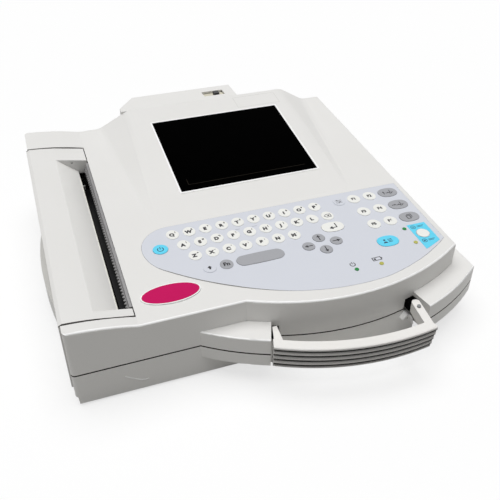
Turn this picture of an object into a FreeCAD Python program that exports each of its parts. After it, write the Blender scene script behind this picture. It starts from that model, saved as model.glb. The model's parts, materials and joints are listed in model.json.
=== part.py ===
"""Desk-top ECG machine: parametric source of its sub-parts, in millimetres, Z up.

Working frame: X runs right from the left wall, Y runs back from the front wall and Z runs up
from the underside. Each finished sub-part is then seated so that the origin is at the middle
of the whole machine, on the table under its feet.
"""
import math
import os

import FreeCAD
import Part
import Sketcher

doc = FreeCAD.newDocument("ecg_machine")
sheet = doc.addObject("Spreadsheet::Sheet", "sizes")
nodes = []
rows = []


class Dim:
    """A size: its number and the sheet expression that gives it."""

    def __init__(self, number, text):
        self.number = float(number)
        self.text = text

    def __add__(self, other):
        other = as_dim(other)
        return Dim(self.number + other.number, f"({self.text} + {other.text})")

    def __sub__(self, other):
        other = as_dim(other)
        return Dim(self.number - other.number, f"({self.text} - {other.text})")

    def __rsub__(self, other):
        return as_dim(other) - self

    def __mul__(self, other):
        other = as_dim(other)
        return Dim(self.number * other.number, f"({self.text} * {other.text})")

    def __truediv__(self, other):
        other = as_dim(other)
        return Dim(self.number / other.number, f"({self.text} / {other.text})")

    def __neg__(self):
        return Dim(-self.number, f"(0 - {self.text})")

    __radd__ = __add__
    __rmul__ = __mul__


def as_dim(value):
    """Return a number or a Dim as a Dim."""
    if isinstance(value, Dim):
        return value
    return Dim(value, f"({float(value)!r})")


def root(value):
    """Return the square root of a Dim."""
    return Dim(math.sqrt(value.number), f"sqrt({value.text})")


def tangent(value):
    """Return the tangent of a Dim in degrees."""
    return Dim(math.tan(math.radians(value.number)), f"tan({value.text} * 1 deg)")


def sine(value):
    """Return the sine of a Dim in degrees."""
    return Dim(math.sin(math.radians(value.number)), f"sin({value.text} * 1 deg)")


def cosine(value):
    """Return the cosine of a Dim in degrees."""
    return Dim(math.cos(math.radians(value.number)), f"cos({value.text} * 1 deg)")


def arctangent(value):
    """Return the angle in degrees whose tangent is a Dim."""
    return Dim(math.degrees(math.atan(value.number)), f"(atan({value.text}) / 1 deg)")


def size(alias, number):
    """Put one driving dimension in the sheet and return it."""
    rows.append(alias)
    cell = f"A{len(rows)}"
    sheet.set(cell, str(number))
    sheet.setAlias(cell, alias)
    return Dim(number, f"sizes.{alias}")


def spot(name, across, along):
    """Put a place on the keypad in the sheet and return it."""
    return size(f"{name}_across", across), size(f"{name}_along", along)


def bind(item, path, value):
    """Bind a property of an object to a Dim."""
    item.setExpression(path, as_dim(value).text)


# Housing
deck_width = size("deck_width", 344.7)
deck_depth = size("deck_depth", 313.1)
deck_front = size("deck_front", 67.7)
deck_angle = size("deck_angle", 2.98)
deck_thickness = size("deck_thickness", 5.0)
split_height = size("split_height", 31.8)
shelf_height = size("shelf_height", 46.6)
apron_height = size("apron_height", 18.0)
ledge_width = size("ledge_width", 16.5)
wall = size("wall", 2.6)
floor_thickness = size("floor_thickness", 3.0)
rim_start = size("rim_start", 143.3)
rim_end = size("rim_end", 10.8)
rim_radius = size("rim_radius", 207.3)
bumper_start = size("bumper_start", 103.7)
bumper_radius = size("bumper_radius", 212.0)
edge_round = size("edge_round", 1.7)
corner_round = size("corner_round", 3.6)
shelf_round = size("shelf_round", 1.3)
crown_rise = size("crown_rise", 7.7)
crown_foot = size("crown_foot", 56.6)
crown_radius = size("crown_radius", 260.0)
foot_height = size("foot_height", 2.5)
foot_radius = size("foot_radius", 8.0)
foot_inset = size("foot_inset", 30.0)
undercut_height = size("undercut_height", 9.0)
undercut_depth = size("undercut_depth", 2.5)
undercut_lean = size("undercut_lean", 0.7)
seam_height = size("seam_height", 1.3)
seam_depth = size("seam_depth", 1.5)

# Display hump
hump_front = size("hump_front", 120.0)
hump_rise = size("hump_rise", 17.0)
hump_left_foot = size("hump_left_foot", 79.0)
hump_left_crease = size("hump_left_crease", 113.0)
hump_right_crease = size("hump_right_crease", 295.0)
hump_right_foot = size("hump_right_foot", 323.0)
hump_left_foot_front = size("hump_left_foot_front", 90.0)
hump_left_crease_front = size("hump_left_crease_front", 105.0)
hump_right_crease_front = size("hump_right_crease_front", 286.0)
hump_right_foot_front = size("hump_right_foot_front", 299.0)
hump_bend = size("hump_bend", 5.0)
window_left = size("window_left", 132.9)
window_width = size("window_width", 142.5)
window_front = size("window_front", 39.3)
window_depth = size("window_depth", 123.0)
window_thickness = size("window_thickness", 2.0)
window_lip = size("window_lip", 6.0)
window_gap = size("window_gap", 0.2)
lcd_thickness = size("lcd_thickness", 8.0)

# Paper drawer
tray_front = size("tray_front", 23.0)
bay_near = size("bay_near", 12.7)
bay_far = size("bay_far", 27.6)
bay_right = size("bay_right", 56.4)
drawer_gap = size("drawer_gap", 0.8)
drawer_overhang = size("drawer_overhang", 1.5)
drawer_skin = size("drawer_skin", 2.6)
drawer_bottom = size("drawer_bottom", 9.4)
recess_left = size("recess_left", 25.6)
recess_near = size("recess_near", 2.5)
recess_far = size("recess_far", 1.1)
recess_wall = size("recess_wall", 2.0)
end_hole_across = size("end_hole_across", 40.6)
end_hole_radius = size("end_hole_radius", 1.2)
slope_right = size("slope_right", 45.8)
slope_drop = size("slope_drop", 11.0)
tray_length = size("tray_length", 288.0)
tray_height = size("tray_height", 20.0)
tray_skin = size("tray_skin", 2.2)
cheek_left = size("cheek_left", 30.0)
cheek_right = size("cheek_right", 51.0)
grip_bulge = size("grip_bulge", 6.8)
grip_radius = size("grip_radius", 349.0)
grip_middle = size("grip_middle", 147.0)
grip_height = size("grip_height", 20.5)
rail_width = size("rail_width", 14.0)
rail_rib = size("rail_rib", 5.0)
rail_rise = size("rail_rise", 7.5)

# Printer
platen_across = size("platen_across", 40.5)
platen_height = size("platen_height", 45.0)
platen_radius = size("platen_radius", 7.0)
platen_length = size("platen_length", 212.0)
platen_end_gap = size("platen_end_gap", 7.5)
shaft_radius = size("shaft_radius", 2.5)
running_gap = size("running_gap", 0.05)
bearing_radius = size("bearing_radius", 5.0)
bearing_flange = size("bearing_flange", 1.0)
gear_module = size("gear_module", 1.0)
gear_width = size("gear_width", 5.0)
gear_gap = size("gear_gap", 0.12)
pinion_width = size("pinion_width", 6.0)
motor_radius = size("motor_radius", 14.0)
motor_length = size("motor_length", 16.0)
motor_plate = size("motor_plate", 1.6)
motor_foot = size("motor_foot", 10.0)
motor_shaft_radius = size("motor_shaft_radius", 1.5)
motor_shaft_depth = size("motor_shaft_depth", 10.0)
head_gap = size("head_gap", 0.4)
head_thickness = size("head_thickness", 5.5)
head_height = size("head_height", 12.0)
head_overhang = size("head_overhang", 1.0)
spring_length = size("spring_length", 5.0)
spring_radius = size("spring_radius", 3.0)
bracket_plate = size("bracket_plate", 1.6)
bracket_foot = size("bracket_foot", 12.0)
bar_far = size("bar_far", 1.5)
bar_reach = size("bar_reach", 5.2)
bar_thickness = size("bar_thickness", 1.2)
bar_seat = size("bar_seat", 6.0)
bar_strip = size("bar_strip", 2.4)
tooth_pitch = size("tooth_pitch", 4.0)
tooth_depth = size("tooth_depth", 2.2)

# Keypad, measured in the plane of the deck
overlay_top = size("overlay_top", 114.5)
overlay_right = size("overlay_right", 339.0)
overlay_shoulder_across = size("overlay_shoulder_across", 104.5)
overlay_shoulder_radius = size("overlay_shoulder_radius", 29.0)
overlay_left = size("overlay_left", 77.8)
overlay_left_along = size("overlay_left_along", 86.0)
overlay_heel_radius = size("overlay_heel_radius", 40.0)
overlay_heel_across = size("overlay_heel_across", 92.7)
overlay_heel_along = size("overlay_heel_along", 54.4)
overlay_sweep_radius = size("overlay_sweep_radius", 262.0)
overlay_bow_across = size("overlay_bow_across", 180.3)
overlay_bow_along = size("overlay_bow_along", 0.3)
overlay_bow_radius = size("overlay_bow_radius", 196.0)
overlay_nose_across = size("overlay_nose_across", 266.4)
overlay_nose_along = size("overlay_nose_along", -9.0)
overlay_nose_radius = size("overlay_nose_radius", 190.0)
overlay_corner_along = size("overlay_corner_along", 22.0)
overlay_thickness = size("overlay_thickness", 1.0)
overlay_proud = size("overlay_proud", 0.1)
pocket_gap = size("pocket_gap", 0.15)
pocket_depth = size("pocket_depth", 3.1)
circuit_thickness = size("circuit_thickness", 1.0)
key_pitch = size("key_pitch", 15.36)
key_row = size("key_row", 17.0)
key_first_across = size("key_first_across", 108.6)
key_first_along = size("key_first_along", 101.3)
key_stagger = size("key_stagger", 5.75)
key_width = size("key_width", 11.6)
key_depth = size("key_depth", 13.0)
pill_width = size("pill_width", 19.4)
pill_depth = size("pill_depth", 13.8)
space_width = size("space_width", 43.0)
space_depth = size("space_depth", 13.6)
panel_left = size("panel_left", 315.6)
panel_right = size("panel_right", 334.0)
panel_front = size("panel_front", 12.4)
panel_corner = size("panel_corner", 20.4)
panel_back = size("panel_back", 47.9)
panel_thickness = size("panel_thickness", 0.15)
key_proud = size("key_proud", 0.4)
key_gap = size("key_gap", 0.2)
key_flange = size("key_flange", 0.8)
key_flange_thickness = size("key_flange_thickness", 0.4)
light_radius = size("light_radius", 1.9)
light_proud = size("light_proud", 0.5)
badge_across = size("badge_across", 88.4)
badge_along = size("badge_along", 27.3)
badge_width = size("badge_width", 47.6)
badge_depth = size("badge_depth", 21.5)
badge_thickness = size("badge_thickness", 0.8)
badge_border = size("badge_border", 1.8)

# Handle
gap_left_back = size("gap_left_back", 166.4)
gap_left_front = size("gap_left_front", 141.6)
gap_right_back = size("gap_right_back", 287.6)
gap_right_front = size("gap_right_front", 298.6)
gap_back = size("gap_back", 4.0)
gap_front = size("gap_front", 16.4)
handle_out = size("handle_out", 15.0)
handle_skew = size("handle_skew", 5.9)
handle_left = size("handle_left", 153.4)
handle_right = size("handle_right", 286.6)
handle_depth = size("handle_depth", 9.6)
handle_bottom = size("handle_bottom", 21.4)
handle_band = size("handle_band", 3.2)
rib_height = size("rib_height", 4.4)
rib_groove = size("rib_groove", 1.6)
rib_step = size("rib_step", 1.0)
rib_hollow = size("rib_hollow", 3.2)
end_across = size("end_across", 154.2)
end_lean = size("end_lean", 0.3)
arm_left = size("arm_left", 160.6)
arm_width = size("arm_width", 3.8)
arm_reach = size("arm_reach", 13.2)
arm_root_left = size("arm_root_left", 154.5)
arm_root_width = size("arm_root_width", 8.4)
arm_bottom = size("arm_bottom", 35.4)
arm_drop = size("arm_drop", 0.6)
arm_end = size("arm_end", 17.0)
tip_left = size("tip_left", 282.4)
tip_width = size("tip_width", 7.2)
tip_reach = size("tip_reach", 24.6)
tip_lean = size("tip_lean", 3.8)
link_left = size("link_left", 283.4)
link_width = size("link_width", 5.0)
link_bottom = size("link_bottom", 33.0)
link_height = size("link_height", 7.0)
opening_gap = size("opening_gap", 1.6)
opening_side = size("opening_side", 6.0)
opening_near = size("opening_near", 23.5)
arm_opening_left_gap = size("arm_opening_left_gap", 0.6)
arm_opening_right_gap = size("arm_opening_right_gap", 3.6)
opening_low = size("opening_low", 26.6)
opening_high = size("opening_high", 42.3)
hook_width = size("hook_width", 1.8)
hook_length = size("hook_length", 3.0)
handle_spare = size("handle_spare", 12.0)
guide_end = size("guide_end", 27.5)
guide_skin = size("guide_skin", 1.8)
slide_gap = size("slide_gap", 0.3)
handle_pin_radius = size("handle_pin_radius", 1.6)
handle_pin_proud = size("handle_pin_proud", 1.4)
pin_reach = size("pin_reach", 31.4)
handle_round = size("handle_round", 1.2)

# Rear hood
hood_left = size("hood_left", 105.5)
hood_chamfer = size("hood_chamfer", 19.0)
hood_cheek = size("hood_cheek", 8.4)
hood_right = size("hood_right", 241.6)
hood_depth = size("hood_depth", 34.2)
hood_top = size("hood_top", 100.2)
hood_height = size("hood_height", 46.0)
hood_skin = size("hood_skin", 2.4)
catch_left = size("catch_left", 204.8)
catch_width = size("catch_width", 24.8)
catch_near = size("catch_near", 9.6)
catch_depth = size("catch_depth", 12.8)
catch_margin = size("catch_margin", 4.0)
catch_thickness = size("catch_thickness", 1.6)
catch_nub = size("catch_nub", 6.0)

# Inside
chassis_level = size("chassis_level", 38.0)
chassis_thickness = size("chassis_thickness", 1.2)
chassis_left = size("chassis_left", 66.0)
chassis_front = size("chassis_front", 30.0)
boss_radius = size("boss_radius", 4.5)
boss_edge = size("boss_edge", 8.6)
screw_radius = size("screw_radius", 1.5)
screw_head_radius = size("screw_head_radius", 3.0)
screw_head_height = size("screw_head_height", 2.2)
screw_bite = size("screw_bite", 10.0)
board_thickness = size("board_thickness", 1.6)
board_lift = size("board_lift", 5.0)
supply_height = size("supply_height", 24.0)
battery_height = size("battery_height", 21.0)

# Sockets
inlet_width = size("inlet_width", 30.0)
inlet_height = size("inlet_height", 22.0)
inlet_across = size("inlet_across", 275.0)
socket_level = size("socket_level", 62.0)
socket_depth = size("socket_depth", 9.0)
flange_proud = size("flange_proud", 1.6)
flange_margin = size("flange_margin", 3.0)
serial_width = size("serial_width", 24.0)
serial_height = size("serial_height", 10.0)
serial_across = size("serial_across", 316.0)
patient_width = size("patient_width", 34.0)
patient_height = size("patient_height", 11.0)
patient_along = size("patient_along", 170.0)
stud_radius = size("stud_radius", 3.0)
stud_across = size("stud_across", 337.0)

doc.recompute()

# Derived places
slope = tangent(deck_angle)
hump_tilt = slope + hump_rise / (deck_depth - hump_front)
hump_angle = arctangent(hump_tilt)
hump_level = deck_front + slope * hump_front
base_width = deck_width + ledge_width
bumper_across = (bumper_start + base_width) / 2
bumper_half = (base_width - bumper_start) / 2
bumper_along = root(bumper_radius * bumper_radius - bumper_half * bumper_half)
handle_across = (handle_left + handle_right) / 2
handle_along = bumper_along - bumper_radius - handle_out + handle_depth / 2
curve_across = bumper_across - handle_across
curve_along = bumper_radius - handle_depth / 2
handle_reach = (bumper_radius - handle_along + curve_across * sine(handle_skew)
                - curve_along * cosine(handle_skew))
gap_reach = bumper_radius - bumper_along + gap_front
machine_left = -(drawer_overhang + grip_bulge)
machine_back = deck_depth + hood_depth
origin_across = (machine_left + base_width) / 2
origin_along = (machine_back - handle_reach) / 2
tray_back = tray_front + platen_length + platen_end_gap * 2
bay_front = tray_front - bay_near
bay_back = tray_back + bay_far
recess_front = tray_front - recess_near
recess_back = tray_back + recess_far
bar_back = tray_back - bar_far
head_length = platen_length + head_overhang * 2
platen_teeth = 24
pinion_teeth = 12
gear_distance = gear_module * (platen_teeth + pinion_teeth) / 2 + 0.1
pinion_across = platen_across + gear_distance
gear_near = tray_back + bearing_flange + 2
pinion_near = gear_near - (pinion_width - gear_width) / 2
motor_near = pinion_near + pinion_width + 2
motor_right = pinion_across + motor_radius + 1
motor_foot_right = motor_right + 1 + motor_foot
FLAT_X = FreeCAD.Vector(1, 0, 0)
FLAT_Y = FreeCAD.Vector(0, 1, 0)
OVAL_FULLNESS = 0.8
WIDE_FULLNESS = 0.94
WIDE_FROM = 1.3


def deck_at(along):
    """Return the deck height at a distance from the front wall."""
    return deck_front + slope * along


def draw(sketch, loop):
    """Draw a closed loop of lines and arcs, every corner bound to the sheet.

    A corner is (x, y) before a line, or (x, y, radius, side) before an arc whose centre is
    on the left (side 1) or on the right (side -1) of the way round.
    """
    count = len(loop)
    heads = []
    tails = []
    for index in range(count):
        corner = loop[index]
        after = loop[(index + 1) % count]
        start = FreeCAD.Vector(as_dim(corner[0]).number, as_dim(corner[1]).number, 0)
        end = FreeCAD.Vector(as_dim(after[0]).number, as_dim(after[1]).number, 0)
        if len(corner) == 2:
            sketch.addGeometry(Part.LineSegment(start, end))
            heads.append(1)
            tails.append(2)
            continue
        radius = as_dim(corner[2])
        side = corner[3]
        chord = end - start
        normal = FreeCAD.Vector(-chord.y, chord.x, 0)
        normal.normalize()
        away = math.sqrt(radius.number ** 2 - (chord.Length / 2) ** 2)
        centre = (start + end) * 0.5 + normal * (away * side)
        first = start if side > 0 else end
        last = end if side > 0 else start
        begin = math.atan2(first.y - centre.y, first.x - centre.x)
        finish = math.atan2(last.y - centre.y, last.x - centre.x)
        if finish < begin:
            finish += 2 * math.pi
        circle = Part.Circle(centre, FreeCAD.Vector(0, 0, 1), radius.number)
        sketch.addGeometry(Part.ArcOfCircle(circle, begin, finish))
        heads.append(1 if side > 0 else 2)
        tails.append(2 if side > 0 else 1)
        place = sketch.addConstraint(Sketcher.Constraint("Radius", index, radius.number))
        bind(sketch, f"Constraints[{place}]", radius)
    for index in range(count):
        after = (index + 1) % count
        joint = Sketcher.Constraint("Coincident", index, tails[index], after, heads[after])
        sketch.addConstraint(joint)
    for index in range(count):
        for axis, value in zip(("DistanceX", "DistanceY"), loop[index][:2]):
            value = as_dim(value)
            rule = Sketcher.Constraint(axis, -1, 1, index, heads[index], value.number)
            place = sketch.addConstraint(rule)
            bind(sketch, f"Constraints[{place}]", value)


def new_sketch(body, name, plane, level):
    """Add a sketch to a body on one of its origin planes, offset by a level."""
    sketch = body.newObject("Sketcher::SketchObject", name)
    datum = [item for item in body.Origin.OriginFeatures if item.Role == f"{plane}_Plane"][0]
    sketch.AttachmentSupport = [(datum, "")]
    sketch.MapMode = "FlatFace"
    bind(sketch, "AttachmentOffset.Base.z", level)
    return sketch


def pad(body, sketch, name, length):
    """Pad a sketch and make it the tip of its body."""
    feature = body.newObject("PartDesign::Pad", name)
    feature.Profile = sketch
    bind(feature, "Length", length)
    body.Tip = feature


def prism(name, plane, level, length, loop):
    """Return a body: a loop drawn on a plane at a level and padded along its normal."""
    body = doc.addObject("PartDesign::Body", name)
    sketch = new_sketch(body, f"{name}_sketch", plane, level)
    draw(sketch, loop)
    pad(body, sketch, f"{name}_pad", length)
    return body


def box(left, right, near, far, low, high):
    """Return a box between limits along X, Y and Z."""
    item = doc.addObject("Part::Box", "block")
    bind(item, "Length", as_dim(right) - left)
    bind(item, "Width", as_dim(far) - near)
    bind(item, "Height", as_dim(high) - low)
    bind(item, "Placement.Base.x", left)
    bind(item, "Placement.Base.y", near)
    bind(item, "Placement.Base.z", low)
    return item


def rod(turn, across, along, up, radius, length):
    """Return a cylinder that starts at a point and runs along X, Y or Z."""
    item = doc.addObject("Part::Cylinder", "rod")
    if turn == "X":
        item.Placement.Rotation = FreeCAD.Rotation(FLAT_Y, 90)
    if turn == "Y":
        item.Placement.Rotation = FreeCAD.Rotation(FLAT_X, -90)
    bind(item, "Radius", radius)
    bind(item, "Height", length)
    bind(item, "Placement.Base.x", across)
    bind(item, "Placement.Base.y", along)
    bind(item, "Placement.Base.z", up)
    return item


def fuse(*items):
    """Return the union of several objects."""
    item = doc.addObject("Part::MultiFuse", "union")
    item.Shapes = list(items)
    item.Refine = True
    return item


def group(*items):
    """Return separate solids as one object."""
    item = doc.addObject("Part::Compound", "group")
    item.Links = list(items)
    return item


def cut(base, *tools):
    """Return an object less the tools."""
    item = doc.addObject("Part::Cut", "less")
    item.Base = base
    item.Tool = tools[0] if len(tools) == 1 else fuse(*tools)
    item.Refine = True
    return item


def common(first, second):
    """Return what two objects share."""
    item = doc.addObject("Part::Common", "shared")
    item.Base = first
    item.Tool = second
    return item


def loft(name, *sections):
    """Return a solid through cross-sections given as (distance along Y, loop)."""
    sketches = []
    for index, (along, loop) in enumerate(sections):
        sketch = doc.addObject("Sketcher::SketchObject", f"{name}_section_{index}")
        sketch.Placement.Rotation = FreeCAD.Rotation(FLAT_X, 90)
        bind(sketch, "Placement.Base.y", along)
        draw(sketch, loop)
        sketches.append(sketch)
    item = doc.addObject("Part::Loft", name)
    item.Sections = sketches
    item.Solid = True
    item.Ruled = True
    return item


def upright(edge):
    """Tell whether an edge is straight and vertical."""
    box_of = edge.BoundBox
    return box_of.XLength < 0.01 and box_of.YLength < 0.01


def rounded(item, radius, upright_radius, chosen):
    """Return an object with the edges that pass a test rounded, vertical ones by a radius of their own."""
    doc.recompute()
    feature = doc.addObject("Part::Fillet", "rounding")
    feature.Base = item
    picked = []
    for index, edge in enumerate(item.Shape.Edges):
        if chosen(edge):
            used = upright_radius if upright(edge) else radius
            picked.append((index + 1, used.number, used.number))
    feature.Edges = picked
    return feature


def on_frame(item, frame, seated):
    """Place an object made in the deck or hump plane, or in the working frame."""
    turns = {"machine": 0, "deck": deck_angle, "hump": hump_angle}
    lift = {"machine": 0, "deck": deck_front, "hump": hump_level}
    along = {"machine": 0, "deck": 0, "hump": hump_front}
    angle = as_dim(turns[frame])
    item.Placement = FreeCAD.Placement(
        FreeCAD.Vector(0, 0, 0), FreeCAD.Rotation(FLAT_X, angle.number))
    shift = (-origin_across, -origin_along, foot_height) if seated else (0, 0, 0)
    bind(item, "Placement.Base.x", as_dim(shift[0]))
    bind(item, "Placement.Base.y", as_dim(along[frame]) + shift[1])
    bind(item, "Placement.Base.z", as_dim(lift[frame]) + shift[2])
    if frame != "machine":
        bind(item, "Placement.Rotation.Angle", angle)
    return item


def node(name, item, frame="machine"):
    """Name a finished sub-part and seat it in the shared frame."""
    if item.TypeId in ("Part::Box", "Part::Cylinder"):
        item = group(item)
    item.Label = name
    on_frame(item, frame, True)
    nodes.append(item)
    return item


def shape_node(name, shape, frame="machine"):
    """Make a sub-part of a shape that sketches and primitives don't suit."""
    item = doc.addObject("Part::Feature", name)
    item.Shape = shape
    return node(name, item, frame)


def rectangle(left, right, near, far):
    """Return the loop of a rectangle."""
    return [(left, near), (right, near), (right, far), (left, far)]


def pill(across, along, width, depth):
    """Return the loop of an oval key: four arcs that meet smoothly."""
    half = as_dim(width) / 2
    reach = as_dim(depth) / 2
    upright_oval = reach.number > half.number
    long_half, short_half = (reach, half) if upright_oval else (half, reach)
    long_half = long_half + 0.05
    fullness = WIDE_FULLNESS if long_half.number > short_half.number * WIDE_FROM else OVAL_FULLNESS
    tip = short_half * fullness
    flat = (long_half * long_half + short_half * short_half - long_half * tip * 2) / (
        (short_half - tip) * 2)
    far = long_half - tip
    deep = flat - short_half
    span = root(far * far + deep * deep)
    along_long = far * flat / span
    along_short = deep * flat / span - deep
    if upright_oval:
        return [
            (across - along_short, along - along_long, tip, 1),
            (across + along_short, along - along_long, flat, 1),
            (across + along_short, along + along_long, tip, 1),
            (across - along_short, along + along_long, flat, 1),
        ]
    return [
        (across - along_long, along - along_short, flat, 1),
        (across + along_long, along - along_short, tip, 1),
        (across + along_long, along + along_short, flat, 1),
        (across - along_long, along + along_short, tip, 1),
    ]


# Top cover
def hump_bend_of(foot_to_crease):
    """Return the radius of the bends at the foot and crease of a side, and how far along and up each ends."""
    span = root(foot_to_crease * foot_to_crease + hump_rise * hump_rise)
    radius = hump_bend * hump_rise / (span - foot_to_crease)
    return radius, hump_bend * foot_to_crease / span, hump_bend * hump_rise / span


def cover_section(along, hump, drop, inset, low):
    """Return the cross-section of the top cover, or of its hollow when inset."""
    level = deck_at(along) - drop
    left_foot = (hump_left_foot if hump else hump_left_foot_front) + inset
    left_crease = (hump_left_crease if hump else hump_left_crease_front) + inset
    right_crease = (hump_right_crease if hump else hump_right_crease_front) - inset
    right_foot = (hump_right_foot if hump else hump_right_foot_front) - inset
    top = level
    left_step = right_step = hump_bend
    left_rise = right_rise = as_dim(0)
    if hump:
        top = level + hump_rise
        right_bend, right_step, right_rise = hump_bend_of(right_foot - right_crease)
        left_bend, left_step, left_rise = hump_bend_of(left_crease - left_foot)
    corners = [
        (as_dim(inset), low),
        (deck_width - inset, low),
        (deck_width - inset, level),
        (right_foot + hump_bend, level),
        (right_foot - right_step, level + right_rise),
        (right_crease + right_step, top - right_rise),
        (right_crease - hump_bend, top),
        (left_crease + hump_bend, top),
        (left_crease - left_step, top - left_rise),
        (left_foot + left_step, level + left_rise),
        (left_foot - hump_bend, level),
        (crown_foot + inset, level, crown_radius, 1),
        (as_dim(inset), level + crown_rise),
    ]
    if hump:
        corners[3] = (*corners[3], right_bend, -1)
        corners[5] = (*corners[5], right_bend, 1)
        corners[7] = (*corners[7], left_bend, 1)
        corners[9] = (*corners[9], left_bend, -1)
    return corners


reach_front = -gap_reach
outer_loft = loft(
    "cover_outer",
    (reach_front, cover_section(reach_front, False, as_dim(0), as_dim(0), split_height)),
    (hump_front, cover_section(hump_front, False, as_dim(0), as_dim(0), split_height)),
    (deck_depth, cover_section(deck_depth, True, as_dim(0), as_dim(0), split_height)),
)
inner_back = deck_depth - wall
inner_loft = loft(
    "cover_inner",
    (reach_front, cover_section(reach_front, False, deck_thickness, wall, split_height - 1)),
    (hump_front, cover_section(hump_front, False, deck_thickness, wall, split_height - 1)),
    (inner_back, cover_section(inner_back, True, deck_thickness, wall, split_height - 1)),
)


def rim_outline(left, inset):
    """Return the plan of the deck from a left limit, or of its hollow when inset."""
    return [
        (left, as_dim(inset)),
        (rim_start + inset, as_dim(inset), rim_radius, 1),
        (deck_width - inset, rim_end + inset),
        (deck_width - inset, deck_depth - inset),
        (left, deck_depth - inset),
    ]


def bumper_outline(left, inset):
    """Return the plan of the bumper and ledge from a left limit, or of the hollow when inset."""
    return [
        (left, as_dim(inset)),
        (bumper_start + inset * 2, as_dim(inset), bumper_radius, 1),
        (base_width - inset, as_dim(inset)),
        (base_width - inset, deck_depth - inset),
        (left, deck_depth - inset),
    ]


def gap_outline(grow):
    """Return the plan of the gap for the handle, grown by a wall when asked."""
    return [
        (gap_left_front - grow, -gap_reach),
        (gap_right_front + grow, -gap_reach),
        (gap_right_back + grow, gap_back),
        (gap_left_back - grow, gap_back),
    ]


tall = hump_level + hump_rise * 3
nothing = as_dim(0)
past_corner = corner_round * 2
upper = common(outer_loft, prism("cover_plan", "XY", split_height, tall, rim_outline(nothing, nothing)))


def on_deck_edge(edge):
    """Tell whether an edge runs round the top of the deck, not across it."""
    box_of = edge.BoundBox
    if upright(edge):
        return box_of.YMin > deck_depth.number - 0.01 or box_of.XMax < 0.01
    if box_of.ZMin < deck_front.number - 3:
        return False
    if box_of.XMin > deck_width.number - 0.01:
        return True
    if box_of.YMin > deck_depth.number - 0.01:
        return False
    if box_of.XMax < 0.01:
        return False
    return box_of.YMax < rim_end.number + 0.01


upper_round = rounded(upper, edge_round, corner_round, on_deck_edge)
shelf = cut(
    prism("shelf_plan", "XY", split_height, shelf_height - split_height,
          bumper_outline(past_corner, nothing)),
    prism("shelf_gap", "XY", split_height - 1, shelf_height, gap_outline(nothing)),
)


def on_shelf_edge(edge):
    """Tell whether an edge is the outer top edge of the bumper or ledge."""
    box_of = edge.BoundBox
    outer = box_of.XMin > base_width.number - 0.01
    if upright(edge):
        return outer and box_of.YMin > rim_end.number
    if box_of.ZMin < shelf_height.number - 0.01:
        return False
    if outer:
        return True
    bent = edge.Curve.TypeId == "Part::GeomCircle"
    return bent and box_of.YMax < 0.01


shelf_rounded = rounded(shelf, shelf_round, corner_round, on_shelf_edge)
cover_hollow = common(
    inner_loft, prism("hollow_plan", "XY", split_height - 1, tall, rim_outline(wall, wall)))
shelf_hollow = cut(
    prism("shelf_hollow", "XY", split_height - 1, shelf_height - wall - split_height + 1,
          bumper_outline(wall, wall)),
    prism("shelf_gap_wall", "XY", split_height - 2, shelf_height, gap_outline(wall)),
)
bay = box(as_dim(-20), bay_right, bay_front, bay_back, split_height - 2, tall + split_height)


def overlay_outline(grow):
    """Return the outline of the keypad overlay in the plane of the deck."""
    return [
        (overlay_shoulder_across, overlay_top + grow, overlay_shoulder_radius + grow, 1),
        (overlay_left - grow, overlay_left_along, overlay_heel_radius + grow, 1),
        (overlay_heel_across - grow, overlay_heel_along - grow, overlay_sweep_radius, 1),
        (overlay_bow_across, overlay_bow_along - grow, overlay_bow_radius + grow, 1),
        (overlay_nose_across, overlay_nose_along - grow, overlay_nose_radius + grow, 1),
        (overlay_right + grow, overlay_corner_along - grow),
        (overlay_right + grow, overlay_top + grow),
    ]


pocket = prism("keypad_pocket", "XY", -pocket_depth, pocket_depth * 2, overlay_outline(pocket_gap))
on_frame(pocket, "deck", False)
window_right = window_left + window_width
window_back = window_front + window_depth
window_seat = prism(
    "window_seat", "XY", -window_thickness - window_gap, window_thickness * 6,
    rectangle(window_left - window_gap, window_right + window_gap,
              window_front - window_gap, window_back + window_gap))
on_frame(window_seat, "hump", False)
window_hole = prism(
    "window_hole", "XY", -deck_thickness * 3, deck_thickness * 4,
    rectangle(window_left + window_lip, window_right - window_lip,
              window_front + window_lip, window_back - window_lip))
on_frame(window_hole, "hump", False)
arm_top = shelf_height - arm_drop


def handle_openings():
    """Return the cut for the openings that the handle's two links run through."""
    back = as_dim(-1.5)
    left_edge = arm_left - arm_opening_left_gap
    left_end = arm_left + arm_width + arm_opening_right_gap
    right_edge = link_left - opening_gap
    right_end = link_left + link_width + opening_gap
    side_low = split_height + wall
    side_end = right_end + opening_side
    right = fuse(box(right_edge, right_end, -gap_reach / 2, back, opening_low, opening_high),
                 box(right_edge, side_end, -opening_near, back, side_low, opening_high))
    return group(box(left_edge, left_end, -gap_reach / 2, back, opening_low, opening_high), right)


back_face = deck_depth - wall * 2
inlet_hole = box(inlet_across - inlet_width / 2, inlet_across + inlet_width / 2,
                 back_face, deck_depth + 1,
                 socket_level - inlet_height / 2, socket_level + inlet_height / 2)
serial_hole = box(serial_across - serial_width / 2, serial_across + serial_width / 2,
                  back_face, deck_depth + 1,
                  socket_level - serial_height / 2, socket_level + serial_height / 2)
patient_hole = box(deck_width - wall * 2, deck_width + 1,
                   patient_along - patient_width / 2, patient_along + patient_width / 2,
                   socket_level - patient_height / 2, socket_level + patient_height / 2)
stud_hole = rod("Y", stud_across, back_face, socket_level, stud_radius, wall * 4)

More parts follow.
